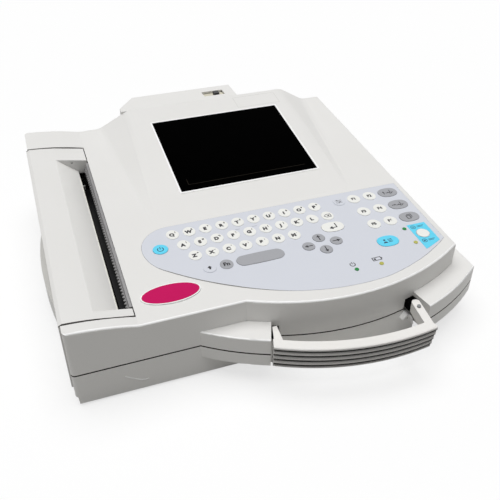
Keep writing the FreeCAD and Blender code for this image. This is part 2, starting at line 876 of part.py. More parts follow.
boss_left = motor_foot_right + boss_radius + 2
boss_right = deck_width - boss_edge
boss_near = boss_edge
boss_far = deck_depth - boss_edge
boss_right_near = rim_end + boss_edge * 1.5
boss_places = [
    (boss_left, boss_near),
    (boss_right, boss_right_near),
    (boss_left, boss_far),
    (boss_right, boss_far),
]
bosses = []
boss_holes = []
for across, along in boss_places:
    bosses.append(rod("Z", across, along, split_height, boss_radius, tall))
    boss_holes.append(rod("Z", across, along, split_height - 1, screw_radius, screw_bite + 3))
cover_solid = fuse(upper_round, shelf_rounded)
cover_shell = cut(cover_solid, cover_hollow, shelf_hollow)
cover_bossed = fuse(cover_shell, common(fuse(*bosses), cover_solid))
node("top_cover", cut(cover_bossed, bay, pocket, window_seat, window_hole, inlet_hole, serial_hole,
                      patient_hole, stud_hole, handle_openings(), *boss_holes))

# Base cover
base_block = prism("base_block", "XY", nothing, split_height,
                   rectangle(nothing, deck_width, nothing, deck_depth))
base_bulge = prism("base_bulge", "XY", apron_height, split_height - apron_height,
                   rim_outline(past_corner, nothing))
base_bumper = cut(
    prism("base_bumper", "XY", apron_height, split_height - apron_height,
          bumper_outline(past_corner, nothing)),
    prism("base_gap", "XY", apron_height - 1, split_height, gap_outline(nothing)),
)


def on_apron_edge(edge):
    """Tell whether an edge is the outer lower edge of the bumper or ledge."""
    box_of = edge.BoundBox
    outer = box_of.XMin > base_width.number - 0.01
    if upright(edge):
        return outer and box_of.YMin > rim_end.number
    if box_of.ZMax > apron_height.number + 0.01:
        return False
    if outer:
        return True
    bent = edge.Curve.TypeId == "Part::GeomCircle"
    return bent and box_of.YMax < 0.01


apron_rounded = rounded(base_bumper, shelf_round, corner_round, on_apron_edge)
base_hollow = prism("base_hollow", "XY", floor_thickness, split_height,
                    rectangle(wall, deck_width - wall, wall, deck_depth - wall))
bulge_hollow = prism("bulge_hollow", "XY", apron_height + wall, split_height, rim_outline(wall, wall))
bumper_hollow = cut(
    prism("bumper_hollow", "XY", apron_height + wall, split_height, bumper_outline(wall, wall)),
    prism("base_gap_wall", "XY", apron_height, split_height, gap_outline(wall)),
)
base_bay = box(as_dim(-20), wall + 1, bay_front, bay_back, drawer_bottom - drawer_gap, split_height + 1)
undercut = prism("undercut", "XZ", -deck_depth * 2, deck_depth * 3,
                 [(as_dim(-1), as_dim(-1)), (undercut_depth, as_dim(-1)),
                  (undercut_depth - undercut_lean, undercut_height - drawer_gap * 2),
                  (as_dim(-1), undercut_height - drawer_gap * 2)])
base_bosses = []
base_holes = []
for across, along in boss_places:
    base_bosses.append(rod("Z", across, along, nothing, boss_radius, split_height))
    base_holes.append(rod("Z", across, along, as_dim(-1), screw_radius, split_height * 2))
    base_holes.append(rod("Z", across, along, as_dim(-1), screw_head_radius, screw_head_height + 1.6))
post_places = [
    (boss_left + 22, boss_near + 2),
    (boss_right - 22, boss_near + 2),
    (boss_left + 22, boss_far - 2),
    (boss_right - 22, boss_far - 2),
]
posts = []
post_holes = []
for across, along in post_places:
    posts.append(rod("Z", across, along, nothing, boss_radius, chassis_level))
    post_holes.append(rod("Z", across, along, chassis_level - screw_bite, screw_radius, screw_bite + 2))
base_rounded = rounded(base_block, edge_round, corner_round, upright)
base_solid = fuse(base_rounded, base_bulge, apron_rounded)
base_shell = cut(base_solid, base_hollow, bulge_hollow, bumper_hollow, base_bay, undercut)
base_bossed = fuse(base_shell, *base_bosses, *posts)
seam_low = split_height - seam_height
seam_core = fuse(
    prism("seam_core", "XY", seam_low - 1, seam_height + 3,
          rectangle(seam_depth, deck_width - seam_depth, seam_depth, deck_depth - seam_depth)),
    prism("seam_rim", "XY", seam_low - 1, seam_height + 3, rim_outline(seam_depth, seam_depth)),
    cut(prism("seam_bumper", "XY", seam_low - 1, seam_height + 3,
              bumper_outline(seam_depth, seam_depth)),
        prism("seam_gap", "XY", seam_low - 2, seam_height + 5, gap_outline(seam_depth))),
)
seam = cut(box(machine_left, base_width * 2, -gap_reach, deck_depth * 2, seam_low, split_height + 1),
           seam_core)
node("base_cover", cut(base_bossed, seam, handle_openings(), *base_holes, *post_holes))

foot_places = [
    (foot_inset, foot_inset),
    (deck_width - foot_inset, foot_inset),
    (foot_inset, deck_depth - foot_inset),
    (deck_width - foot_inset, deck_depth - foot_inset),
]
feet = [rod("Z", across, along, -foot_height, foot_radius, foot_height)
        for across, along in foot_places]
node("rubber_feet", group(*feet))

cover_screws = []
for across, along in boss_places:
    shank = rod("Z", across, along, as_dim(1), screw_radius, split_height + screw_bite)
    head = rod("Z", across, along, as_dim(0.6), screw_head_radius - 0.2, screw_head_height)
    cover_screws.append(fuse(shank, head))
node("cover_screws", group(*cover_screws))

# Chassis and what stands on it
chassis_top = chassis_level + chassis_thickness
chassis_right = boss_right - boss_radius - 1.5
chassis_back = deck_depth - wall - 1
chassis_parts = [box(chassis_left, chassis_right, chassis_front, chassis_back,
                     chassis_level, chassis_top)]
for across, along in post_places[:2]:
    chassis_parts.append(box(across - 7, across + 7, along - 6, chassis_front + 1,
                             chassis_level, chassis_top))
board_left = chassis_left + 26
board_right = board_left + 118
board_front = hump_front + 20
board_back = chassis_back - 16
for across in (board_left + 5, board_right - 5):
    for along in (board_front + 5, board_back - 5):
        chassis_parts.append(rod("Z", across, along, chassis_level, screw_head_radius,
                                 chassis_thickness + board_lift))
chassis_holes = [rod("Z", across, along, chassis_level - 1, screw_radius, as_dim(6))
                 for across, along in post_places]
chassis_holes += [rod("Z", across, along, chassis_level - 1, boss_radius + 0.6, as_dim(6))
                  for across, along in boss_places]
chassis_holes.append(box(chassis_left - 1, motor_right, motor_near - 1, motor_near + motor_length + 1,
                         chassis_level - 1, chassis_top + 1))
node("chassis_plate", cut(fuse(*chassis_parts), *chassis_holes))
chassis_screws = []
for across, along in post_places:
    shank = rod("Z", across, along, chassis_level - 8, screw_radius, chassis_thickness + 9)
    head = rod("Z", across, along, chassis_top, screw_head_radius, screw_head_height)
    chassis_screws.append(fuse(shank, head))
node("chassis_screws", group(*chassis_screws))
board_level = chassis_top + board_lift
board_top = board_level + board_thickness
node("main_board", prism("main_board", "XY", board_level, board_thickness,
                         rectangle(board_left, board_right, board_front, board_back)))
board_chips = [
    box(board_left + 20, board_left + 50, board_front + 30, board_front + 60, board_top, board_top + 2.5),
    box(board_left + 65, board_left + 85, board_front + 30, board_front + 44, board_top, board_top + 2),
    box(board_left + 65, board_left + 85, board_front + 56, board_front + 70, board_top, board_top + 2),
    box(board_left + 20, board_left + 60, board_back - 20, board_back - 12, board_top, board_top + 8),
    rod("Z", board_right - 16, board_front + 90, board_top, as_dim(5), as_dim(10)),
]
node("board_parts", group(*board_chips))
supply_left = board_right + 12
supply_right = chassis_right - 14
supply_back = chassis_back - 16
supply_front = supply_back - 82
node("power_supply", prism("power_supply", "XY", chassis_top, supply_height,
                           rectangle(supply_left, supply_right, supply_front, supply_back)))
battery_back = supply_front - 8
battery_front = battery_back - 84
node("battery_pack", prism("battery_pack", "XY", chassis_top, battery_height,
                           rectangle(supply_left, supply_right, battery_front, battery_back)))

# Display
node("display_window", prism(
    "display_window", "XY", -window_thickness, window_thickness,
    rectangle(window_left, window_right, window_front, window_back)), "hump")
lcd_left = window_left + window_lip + 1
lcd_right = window_right - window_lip - 1
lcd_front = window_front + window_lip + 1
lcd_back = window_back - window_lip - 1
node("lcd_module", prism("lcd_module", "XY", -window_thickness - lcd_thickness, lcd_thickness,
                         rectangle(lcd_left, lcd_right, lcd_front, lcd_back)), "hump")

# Keypad
arrow_width = key_width - 0.6
arrow_depth = key_depth - 2
moving_keys = {
    "key_on": (*spot("key_on", 93.6, 84.4), key_width + 1.6, key_depth),
    "key_space": (*spot("key_space", 172.8, 47.6), space_width, space_depth),
    "key_enter": (*spot("key_enter", 250.2, 67.4), pill_width + 2, pill_depth),
    "key_up": (*spot("key_up", 231.3, 56.4), arrow_width, arrow_depth),
    "key_down": (*spot("key_down", 231.3, 39.5), arrow_width, arrow_depth),
    "key_left": (*spot("key_left", 218.0, 48.0), arrow_width, arrow_depth),
    "key_right": (*spot("key_right", 244.8, 48.0), arrow_width, arrow_depth),
    "key_gain": (*spot("key_gain", 325.0, 101.4), pill_width, pill_depth),
    "key_speed": (*spot("key_speed", 325.0, 80.2), pill_width, pill_depth),
    "key_filter": (*spot("key_filter", 325.0, 59.4), pill_width, pill_depth),
    "key_patient": (*spot("key_patient", 288.3, 33.0), pill_width + 0.8, pill_depth + 0.6),
    "key_start": (*spot("key_start", 324.3, 33.4), key_width, key_depth - 1),
}
lights = {
    "lights_green": [spot("ready_light", 311.2, 44.0), spot("standby_light", 244.4, 6.8)],
    "lights_yellow": [spot("fault_light", 311.0, 23.4), spot("battery_light", 268.0, 7.0)],
}
function_near = spot("function_near", 288.3, 59.3)
function_far = spot("function_far", 305.1, 101.4)
function_middle = size("function_middle_along", 79.8)
alternate_place = spot("alternate", 142.1, 47.6)
edge_places = [spot("shift", 127.2, 47.6), spot("setup", 272.6, 101.8)]
overlay_top_face = overlay_proud
overlay_low_face = overlay_proud - overlay_thickness
circuit_low = -pocket_depth
circuit_top = circuit_low + circuit_thickness
key_holes = []
for name, (across, along, width, depth) in moving_keys.items():
    key_holes.append(prism(f"{name}_hole", "XY", overlay_low_face - 1, overlay_thickness + 2,
                           pill(across, along, width + key_gap * 2, depth + key_gap * 2)))
for places in lights.values():
    for across, along in places:
        key_holes.append(rod("Z", across, along, overlay_low_face - 1, light_radius,
                             overlay_thickness + 2))
overlay_sheet = prism("overlay_sheet", "XY", overlay_low_face, overlay_thickness, overlay_outline(nothing))
spacer_top = prism("spacer_top", "XY", circuit_top, overlay_low_face - circuit_top,
                   rectangle(overlay_shoulder_across + 1, overlay_right - 1,
                             overlay_top - 4, overlay_top - 2))
overlay = cut(fuse(overlay_sheet, spacer_top), *key_holes)
node("keypad_overlay", overlay, "deck")
node("keypad_circuit", prism("keypad_circuit", "XY", circuit_low, circuit_thickness,
                             overlay_outline(nothing)), "deck")
for name, (across, along, width, depth) in moving_keys.items():
    flange_low = overlay_low_face - key_flange_thickness - 0.1
    cap = prism(f"{name}_cap", "XY", flange_low, overlay_top_face + key_proud - flange_low,
                pill(across, along, width, depth))
    flange = prism(f"{name}_flange", "XY", flange_low, key_flange_thickness,
                   pill(across, along, width + key_flange * 2, depth + key_flange * 2))
    node(name, fuse(cap, flange), "deck")
letter_pads = []
for row, count in enumerate((10, 10, 7)):
    for place in range(count):
        across = key_first_across + key_stagger * row + key_pitch * place
        along = key_first_along - key_row * row
        letter_pads.append(prism("letter_pad", "XY", overlay_top_face, key_proud,
                                 pill(across, along, key_width, key_depth)))
node("letter_keys", group(*letter_pads), "deck")
function_pads = []
for across in (function_near[0], function_far[0]):
    for along in (function_near[1], function_middle, function_far[1]):
        function_pads.append(prism("function_pad", "XY", overlay_top_face, key_proud,
                                   pill(across, along, key_width + 1, key_depth)))
node("function_keys", group(*function_pads), "deck")
node("alternate_key", prism("alternate_pad", "XY", overlay_top_face, key_proud,
                            pill(*alternate_place, key_width, key_depth - 1)), "deck")
edge_keys = []
for across, along in edge_places:
    edge_keys.append(prism("edge_pad", "XY", overlay_top_face, key_proud,
                           pill(across, along, key_width, key_depth - 1)))
node("shift_setup_keys", group(*edge_keys), "deck")
start_hole = prism("start_panel_hole", "XY", nothing, overlay_thickness,
                   pill(moving_keys["key_start"][0], moving_keys["key_start"][1],
                        key_width + key_gap * 4, key_depth - 1 + key_gap * 4))
start_sheet = prism("start_sheet", "XY", overlay_top_face, panel_thickness,
                    [(panel_left, panel_front, overlay_nose_radius, 1), (panel_right, panel_corner),
                     (panel_right, panel_back), (panel_left, panel_back)])
node("start_panel", cut(start_sheet, start_hole), "deck")
for name, places in lights.items():
    lamps = [rod("Z", across, along, circuit_top, light_radius,
                 overlay_top_face + light_proud - circuit_top) for across, along in places]
    node(name, group(*lamps), "deck")


def ellipse_plate(across, along, width, depth, low, thickness):
    """Return a plate with an elliptical outline."""
    centre = FreeCAD.Vector(across.number, along.number, low)
    curve = Part.Ellipse(centre, width / 2, depth / 2)
    face = Part.Face(Part.Wire([curve.toShape()]))
    return face.extrude(FreeCAD.Vector(0, 0, thickness))


badge_plate = ellipse_plate(badge_across, badge_along, badge_width.number, badge_depth.number,
                            0.0, badge_thickness.number)
badge_field = ellipse_plate(badge_across, badge_along,
                            badge_width.number - badge_border.number * 2,
                            badge_depth.number - badge_border.number * 2,
                            badge_thickness.number - 0.3, 0.5)
shape_node("badge_rim", badge_plate.cut(badge_field), "deck")
shape_node("badge_field", badge_field, "deck")

# Paper drawer
drawer_front = bay_front + drawer_gap
drawer_back = bay_back - drawer_gap
drawer_right = bay_right - drawer_gap


def door_section(along):
    """Return the cross-section of the drawer's crowned top and left wall."""
    level = deck_at(along)
    skin = drawer_skin
    return [
        (-drawer_overhang, drawer_bottom),
        (-drawer_overhang + skin, drawer_bottom),
        (-drawer_overhang + skin, level + crown_rise - skin),
        (recess_left, level + crown_rise * 0.72 - skin),
        (drawer_right, level - skin),
        (drawer_right, level),
        (recess_left, level + crown_rise * 0.72, crown_radius, 1),
        (drawer_overhang, level + crown_rise),
        (-drawer_overhang, level + crown_rise - 1.6),
    ]


def slope_section(along):
    """Return the cross-section of the sloping tear surface."""
    level = deck_at(along)
    skin = drawer_skin
    high = level + crown_rise * 0.72
    return [
        (recess_left - skin, high - skin * 0.2),
        (recess_left - skin, high - skin * 1.6),
        (slope_right, level - slope_drop - skin),
        (slope_right, level - slope_drop),
        (recess_left, high),
    ]


def end_section(along):
    """Return the cross-section of a recess end wall."""
    level = deck_at(along)
    high = level + crown_rise * 0.72
    return [
        (recess_left - 1, high - drawer_skin),
        (slope_right, level - slope_drop - drawer_skin),
        (drawer_right, level - slope_drop - drawer_skin),
        (drawer_right, level - drawer_skin / 2),
        (recess_left, high - drawer_skin / 2),
    ]


door = loft("door_shell", (drawer_front, door_section(drawer_front)),
            (drawer_back, door_section(drawer_back)))
recess = box(recess_left, bay_right + 1, recess_front, recess_back, split_height, tall + split_height)
tear_slope = loft("tear_slope", (recess_front, slope_section(recess_front)),
                  (recess_back, slope_section(recess_back)))
near_end = loft("near_end", (recess_front - recess_wall, end_section(recess_front - recess_wall)),
                (recess_front, end_section(recess_front)))
far_end = loft("far_end", (recess_back, end_section(recess_back)),
               (recess_back + recess_wall, end_section(recess_back + recess_wall)))
end_hole = rod("Y", end_hole_across, recess_back - 1, deck_at(recess_back), end_hole_radius,
               recess_wall + 2)
node("drawer_door", fuse(cut(door, recess), tear_slope, near_end, cut(far_end, end_hole)))

grip_half = root(grip_radius * grip_radius - (grip_radius - grip_bulge) * (grip_radius - grip_bulge))
node("drawer_grip", prism(
    "drawer_grip", "XY", drawer_bottom + 1, grip_height,
    [(-drawer_overhang, grip_middle + grip_half, grip_radius, 1),
     (-drawer_overhang, grip_middle - grip_half)]))

tray_left = drawer_skin - drawer_overhang
tray_right = tray_left + tray_length
tray_floor = drawer_bottom + tray_skin
tray_rim = drawer_bottom + tray_height
cheek_top = platen_height + bearing_radius + 3
tray_parts = [
    box(tray_left, tray_right, tray_front, tray_back, drawer_bottom, tray_floor),
    box(tray_left, tray_right, tray_front, tray_front + tray_skin, drawer_bottom, tray_rim),
    box(tray_left, tray_right, tray_back - tray_skin, tray_back, drawer_bottom, tray_rim),
    box(tray_right - tray_skin, tray_right, tray_front, tray_back, drawer_bottom, tray_rim),
    box(cheek_left, cheek_right - 1, tray_front, tray_front + tray_skin, drawer_bottom, cheek_top),
    box(cheek_left, cheek_right - 1, tray_back - tray_skin, tray_back, drawer_bottom, cheek_top),
]
bearing_bores = rod("Y", platen_across, tray_front - 1, platen_height, bearing_radius,
                    tray_back - tray_front + 2)
node("drawer_tray", cut(fuse(*tray_parts), bearing_bores))

rail_top = drawer_bottom - slide_gap
rail_left = undercut_depth + wall * 2
rails = []
for face, way in ((tray_front, 1), (tray_back, -1)):
    side = face - slide_gap * way
    under = side + (rail_width - rail_rib) * way
    outer = side - rail_rib * way
    low_y, high_y = (outer, under) if way > 0 else (under, outer)
    rib_low, rib_high = (outer, side) if way > 0 else (side, outer)
    rails.append(fuse(
        box(rail_left, tray_right, low_y, high_y, floor_thickness, rail_top),
        box(rail_left, tray_right, rib_low, rib_high, floor_thickness, rail_top + rail_rise)))
node("drawer_rails", group(*rails))

# Platen
platen_middle = (tray_front + tray_back) / 2
platen_near = platen_middle - platen_length / 2
roller = rod("Y", platen_across, platen_near, platen_height, platen_radius, platen_length)
roller_bore = rod("Y", platen_across, platen_near - 1, platen_height, shaft_radius, platen_length + 2)
node("platen_roller", cut(roller, roller_bore))
shaft_near = tray_front - bearing_flange - 1.5
shaft_far = gear_near + gear_width + 1
node("platen_shaft", rod("Y", platen_across, shaft_near, platen_height, shaft_radius,
                         shaft_far - shaft_near))
bearings = []
for inner, way in ((tray_front, -1), (tray_back, 1)):
    start = inner if way < 0 else inner - tray_skin
    flange_at = inner - bearing_flange if way < 0 else inner
    sleeve = rod("Y", platen_across, start, platen_height, bearing_radius, tray_skin)
    flange = rod("Y", platen_across, flange_at, platen_height, bearing_radius + 1.5, bearing_flange)
    bore = rod("Y", platen_across, flange_at - 5, platen_height, shaft_radius + running_gap,
               tray_skin + 12)
    bearings.append(cut(fuse(sleeve, flange), bore))
node("platen_bearings", group(*bearings))


def gear_shape(teeth, centre, thickness, bore, phase):
    """Return a spur gear that runs along Y from a centre, with involute flanks."""
    module = gear_module.number
    thinning = gear_gap.number
    pitch_radius = module * teeth / 2
    base_radius = pitch_radius * math.cos(math.radians(20))
    tip_radius = pitch_radius + module * 0.9
    root_radius = pitch_radius - module * 1.25
    spread = math.tan(math.radians(20)) - math.radians(20)
    half_tooth = math.pi / (2 * teeth) - thinning / (2 * pitch_radius) + spread
    steps = 6
    outline = []
    for tooth in range(teeth):
        middle = 2 * math.pi * tooth / teeth + phase
        flank = []
        for step in range(steps + 1):
            radius = base_radius + (tip_radius - base_radius) * step / steps
            roll = math.sqrt(max((radius / base_radius) ** 2 - 1, 0))
            flank.append((radius, half_tooth - (roll - math.atan(roll))))
        outline.append((root_radius, middle - half_tooth))
        outline += [(radius, middle - turn) for radius, turn in flank]
        outline += [(radius, middle + turn) for radius, turn in reversed(flank)]
        outline.append((root_radius, middle + half_tooth))
    points = [centre + FreeCAD.Vector(radius * math.cos(turn), 0, radius * math.sin(turn))
              for radius, turn in outline]
    face = Part.Face(Part.makePolygon(points + points[:1]))
    solid = face.extrude(FreeCAD.Vector(0, thickness, 0))
    hole = Part.makeCylinder(bore, thickness + 2, centre - FLAT_Y, FLAT_Y)
    return solid.cut(hole)


platen_centre = FreeCAD.Vector(platen_across.number, gear_near.number, platen_height.number)
platen_phase = math.pi / platen_teeth
shape_node("platen_gear", gear_shape(platen_teeth, platen_centre, gear_width.number,
                                     shaft_radius.number, platen_phase))
pinion_centre = FreeCAD.Vector(pinion_across.number, pinion_near.number, platen_height.number)
shape_node("motor_pinion", gear_shape(pinion_teeth, pinion_centre, pinion_width.number,
                                      motor_shaft_radius.number, math.pi))
node("motor_shaft", rod("Y", pinion_across, pinion_near, platen_height, motor_shaft_radius,
                        motor_near - pinion_near + motor_shaft_depth))
motor_can = rod("Y", pinion_across, motor_near, platen_height, motor_radius, motor_length)
motor_bore = rod("Y", pinion_across, motor_near - 1, platen_height, motor_shaft_radius + running_gap,
                 motor_shaft_depth + 3)
motor_ear = box(pinion_across, motor_foot_right, motor_near, motor_near + motor_plate,
                chassis_top, platen_height + 12)
motor_seat = box(motor_right + 1, motor_foot_right, motor_near, motor_near + motor_length,
                 chassis_top, chassis_top + motor_plate)
node("motor", cut(fuse(motor_can, motor_ear, motor_seat), motor_bore))

# Print head and tear bar
head_left = platen_across + platen_radius + head_gap
head_right = head_left + head_thickness
head_near = platen_middle - head_length / 2
node("print_head", prism("print_head", "XY", platen_height - head_height / 2, head_height,
                         rectangle(head_left, head_right, head_near, head_near + head_length)))
springs = []
for share in (0.25, 0.75):
    along = head_near + head_length * share
    coil = rod("X", head_right, along, platen_height, spring_radius, spring_length)
    eye = rod("X", head_right - 1, along, platen_height, spring_radius - 0.8, spring_length + 2)
    springs.append(cut(coil, eye))
node("head_springs", group(*springs))
bracket_left = head_right + spring_length
node("head_bracket", prism(
    "head_bracket", "XZ", -(head_near + head_length), head_length,
    [(bracket_left, platen_height - head_height / 2),
     (bracket_left + bracket_plate, platen_height - head_height / 2),
     (bracket_left + bracket_plate, chassis_top),
     (chassis_left + bracket_foot, chassis_top),
     (chassis_left + bracket_foot, chassis_top + bracket_plate),
     (bracket_left + bracket_plate, chassis_top + bracket_plate),
     (bracket_left + bracket_plate, platen_height + head_height / 2),
     (bracket_left, platen_height + head_height / 2)]))

tooth_count = int((bar_back.number - tray_front.number) / tooth_pitch.number)
bar_left = bay_right.number - bar_reach.number
bar_right = bay_right.number + bar_seat.number
bar_points = [FreeCAD.Vector(bar_right, tray_front.number, 0)]
for tooth in range(tooth_count):
    start = tray_front.number + tooth * tooth_pitch.number
    bar_points.append(FreeCAD.Vector(bar_left + tooth_depth.number, start, 0))
    bar_points.append(FreeCAD.Vector(bar_left, start + tooth_pitch.number / 2, 0))
bar_end = tray_front.number + tooth_count * tooth_pitch.number
bar_points.append(FreeCAD.Vector(bar_left + tooth_depth.number, bar_end, 0))
bar_points.append(FreeCAD.Vector(bar_right, bar_end, 0))
bar_face = Part.Face(Part.makePolygon(bar_points + bar_points[:1]))
bar_low = -deck_thickness.number - bar_thickness.number
bar_plate = bar_face.extrude(FreeCAD.Vector(0, 0, bar_thickness.number))
bar_plate.translate(FreeCAD.Vector(0, 0, bar_low))
bar_rise_left = bay_right.number - bar_strip.number - window_gap.number
bar_rise_height = deck_thickness.number - bar_thickness.number / 2
bar_rise = Part.makeBox(bar_strip.number, bar_end - tray_front.number, bar_rise_height,
                        FreeCAD.Vector(bar_rise_left, tray_front.number, -deck_thickness.number))
shape_node("tear_bar", bar_plate.fuse(bar_rise), "deck")

# Handle
def handle_sector(name, low, height, setback):
    """Return a band of the handle, made about its middle and turned by its skew."""
    outer = bumper_radius - setback
    inner = bumper_radius - handle_depth
    corners = []
    for radius in (outer, inner):
        for edge in (handle_left - handle_depth / 2, handle_right):
            away = (edge - bumper_across) * radius / bumper_radius
            drop = root(radius * radius - away * away)
            corners.append((curve_across + away, curve_along - drop))
    band = prism(name, "XY", low, height, [
        (corners[0][0], corners[0][1], outer, 1), corners[1],
        (corners[3][0], corners[3][1], inner, -1), corners[2]])
    band.Placement.Rotation = FreeCAD.Rotation(FreeCAD.Vector(0, 0, -1), handle_skew.number)
    bind(band, "Placement.Rotation.Angle", handle_skew)
    bind(band, "Placement.Base.x", handle_across)
    bind(band, "Placement.Base.y", handle_along)
    return band


def on_handle_edge(edge):
    """Tell whether an edge is a curved top edge of the handle."""
    bent = edge.Curve.TypeId == "Part::GeomCircle"
    return bent and edge.BoundBox.ZMin > shelf_height.number - 0.01


handle_top = handle_sector("handle_top", shelf_height - handle_band, handle_band, nothing)
bands = [rounded(handle_top, handle_round, handle_round, on_handle_edge)]
rib_pitch = rib_height + rib_groove
last_rib = shelf_height - handle_band - rib_pitch * 3 - rib_groove - handle_bottom
core_low = handle_bottom + last_rib / 2
core_setback = rib_step * 4 + rib_hollow
bands.append(handle_sector("handle_core", core_low, shelf_height - handle_band / 2 - core_low, core_setback))
for rib in range(3):
    low = shelf_height - handle_band - rib_pitch * (rib + 1)
    bands.append(handle_sector("handle_rib", low, rib_height, rib_step * (rib + 1)))
bands.append(handle_sector("handle_rib", handle_bottom, last_rib, rib_step * 4))


def bar_line(across):
    """Return how far along the middle of the handle's bar is at a distance across."""
    away = across - bumper_across
    return handle_along + (handle_across - across) * sine(handle_skew) + away * away / (bumper_radius * 2)


end_along = bar_line(end_across)
past_end = end_across - handle_depth * 2
left_end = prism("left_end", "XY", handle_bottom - 1, shelf_height, [
    (end_across - end_lean * handle_depth, end_along - handle_depth),
    (end_across + end_lean * handle_depth, end_along + handle_depth),
    (past_end, end_along + handle_depth), (past_end, end_along - handle_depth)])
members = [cut(fuse(*bands), left_end)]
arm_root_right = arm_root_left + arm_root_width
arm_along = bar_line(arm_root_left + arm_root_width / 2)
members.append(prism("left_arm", "XY", arm_bottom, arm_top - arm_bottom, [
    (arm_root_left, arm_along), (arm_root_right, arm_along),
    (arm_left + arm_width, -arm_reach), (arm_left, -arm_reach)]))
root_left = tip_left - tip_lean
root_along = bar_line(root_left + tip_width / 2)
members.append(prism("right_arm", "XY", arm_bottom, arm_top - arm_bottom, [
    (root_left, root_along), (root_left + tip_width, root_along),
    (tip_left + tip_width, -tip_reach, tip_width * 0.52, 1), (tip_left, -tip_reach)]))
link_top = link_bottom + link_height
runners = [(arm_left, arm_width, -arm_reach - arm_width), (link_left, link_width, -tip_reach - tip_width)]
for left, width, near in runners:
    members.append(box(left, left + width, near, arm_end, link_bottom, link_top))
    members.append(box(left - hook_width, left + width + hook_width, arm_end - hook_length, arm_end,
                       link_bottom, link_top))
node("carry_handle", fuse(*members))
pin_share = (pin_reach - tip_reach) / (-root_along - tip_reach)
node("handle_pin", rod("Z", tip_left + tip_width / 2 - tip_lean * pin_share, -pin_reach, arm_top,
                       handle_pin_radius, handle_pin_proud))
guides = []
hook_stop = arm_end - hook_length - handle_spare - slide_gap
guide_foot_far = tray_front - slide_gap * 2 - rail_rib
channel_low = link_bottom - slide_gap
channel_high = link_top + slide_gap
guide_low = channel_low - guide_skin / 2
for edge, width, near in runners:
    left = edge - hook_width - slide_gap
    right = edge + width + hook_width + slide_gap
    outer = box(left - guide_skin, right + guide_skin, hook_stop - guide_skin, guide_end,
                guide_low, channel_high + guide_skin)
    foot = box(left - guide_skin, right + guide_skin, wall * 2, guide_foot_far, floor_thickness,
               guide_low + guide_skin / 4)
    channel = box(left, right, hook_stop, guide_end - guide_skin, channel_low, channel_high)
    mouth = box(edge - slide_gap, edge + width + slide_gap, hook_stop - guide_skin * 2,
                hook_stop + 1, channel_low, channel_high)
    guides.append(cut(fuse(outer, foot), channel, mouth))
node("handle_guides", group(*guides))

# Rear hood and catch
hood_near = deck_depth + 0.05
hood_far = deck_depth + hood_depth
hood_low = hood_top - hood_height
hood_outer = prism("hood_outer", "XY", hood_low, hood_height,
                   [(hood_left, hood_near), (hood_right, hood_near), (hood_right, hood_far),
                    (hood_left + hood_chamfer, hood_far), (hood_left, hood_near + hood_cheek)])
hood_inner = prism("hood_inner", "XY", hood_low - 1, hood_height + 1 - hood_skin,
                   [(hood_left + hood_skin, hood_near - 1), (hood_right - hood_skin, hood_near - 1),
                    (hood_right - hood_skin, hood_far - hood_skin),
                    (hood_left + hood_chamfer + hood_skin * 0.6, hood_far - hood_skin),
                    (hood_left + hood_skin, hood_near + hood_cheek - hood_skin * 0.6)])
catch_right = catch_left + catch_width
catch_front = deck_depth + catch_near
catch_back = catch_front + catch_depth
hood_window = box(catch_left, catch_right, catch_front, catch_back, hood_top - 20, hood_top + 5)
runner_low = hood_top - hood_skin - catch_thickness - slide_gap * 2 - 1.4
catch_runners = []
for near, far in ((catch_front - catch_margin - 2, catch_front - 1.4),
                  (catch_back + 1.4, catch_back + catch_margin + 2)):
    catch_runners.append(box(catch_left - 8, hood_right - 1, near, far, runner_low, hood_top - 1))
runner_slot = box(catch_left - 30, hood_right - hood_skin, catch_front - catch_margin,
                  catch_back + catch_margin,
                  hood_top - hood_skin - catch_thickness - slide_gap * 2, hood_top - hood_skin)
hood_shell = cut(hood_outer, hood_inner)
node("rear_hood", cut(fuse(hood_shell, *catch_runners), hood_window, runner_slot))
catch_top = hood_top - hood_skin - slide_gap
catch_plate = box(catch_left - 6, catch_right + 1, catch_front - catch_margin + slide_gap,
                  catch_back + catch_margin - slide_gap, catch_top - catch_thickness, catch_top)
node("rear_catch", catch_plate)
nub_left = catch_left + catch_width * 0.52
node("catch_nub", box(nub_left, nub_left + catch_nub, catch_front + 3, catch_back - 3,
                      catch_top, hood_top + 0.8))


# Sockets
def socket(across, width, height, pin_count):
    """Make a flanged socket in the back wall with its pins."""
    half = width / 2
    rise = height / 2
    flange = box(across - half - flange_margin, across + half + flange_margin, deck_depth,
                 deck_depth + flange_proud, socket_level - rise - flange_margin,
                 socket_level + rise + flange_margin)
    body = box(across - half, across + half, deck_depth - socket_depth - 2, deck_depth + flange_proud,
               socket_level - rise, socket_level + rise)
    mouth = box(across - half + 2, across + half - 2, deck_depth - socket_depth, deck_depth + 5,
                socket_level - rise + 2, socket_level + rise - 2)
    shell = cut(fuse(flange, body), mouth)
    spacing = width / (pin_count + 1)
    prongs = [rod("Y", across - half + spacing * (pin + 1), deck_depth - socket_depth, socket_level,
                  as_dim(0.9), socket_depth - 1) for pin in range(pin_count)]
    return shell, prongs


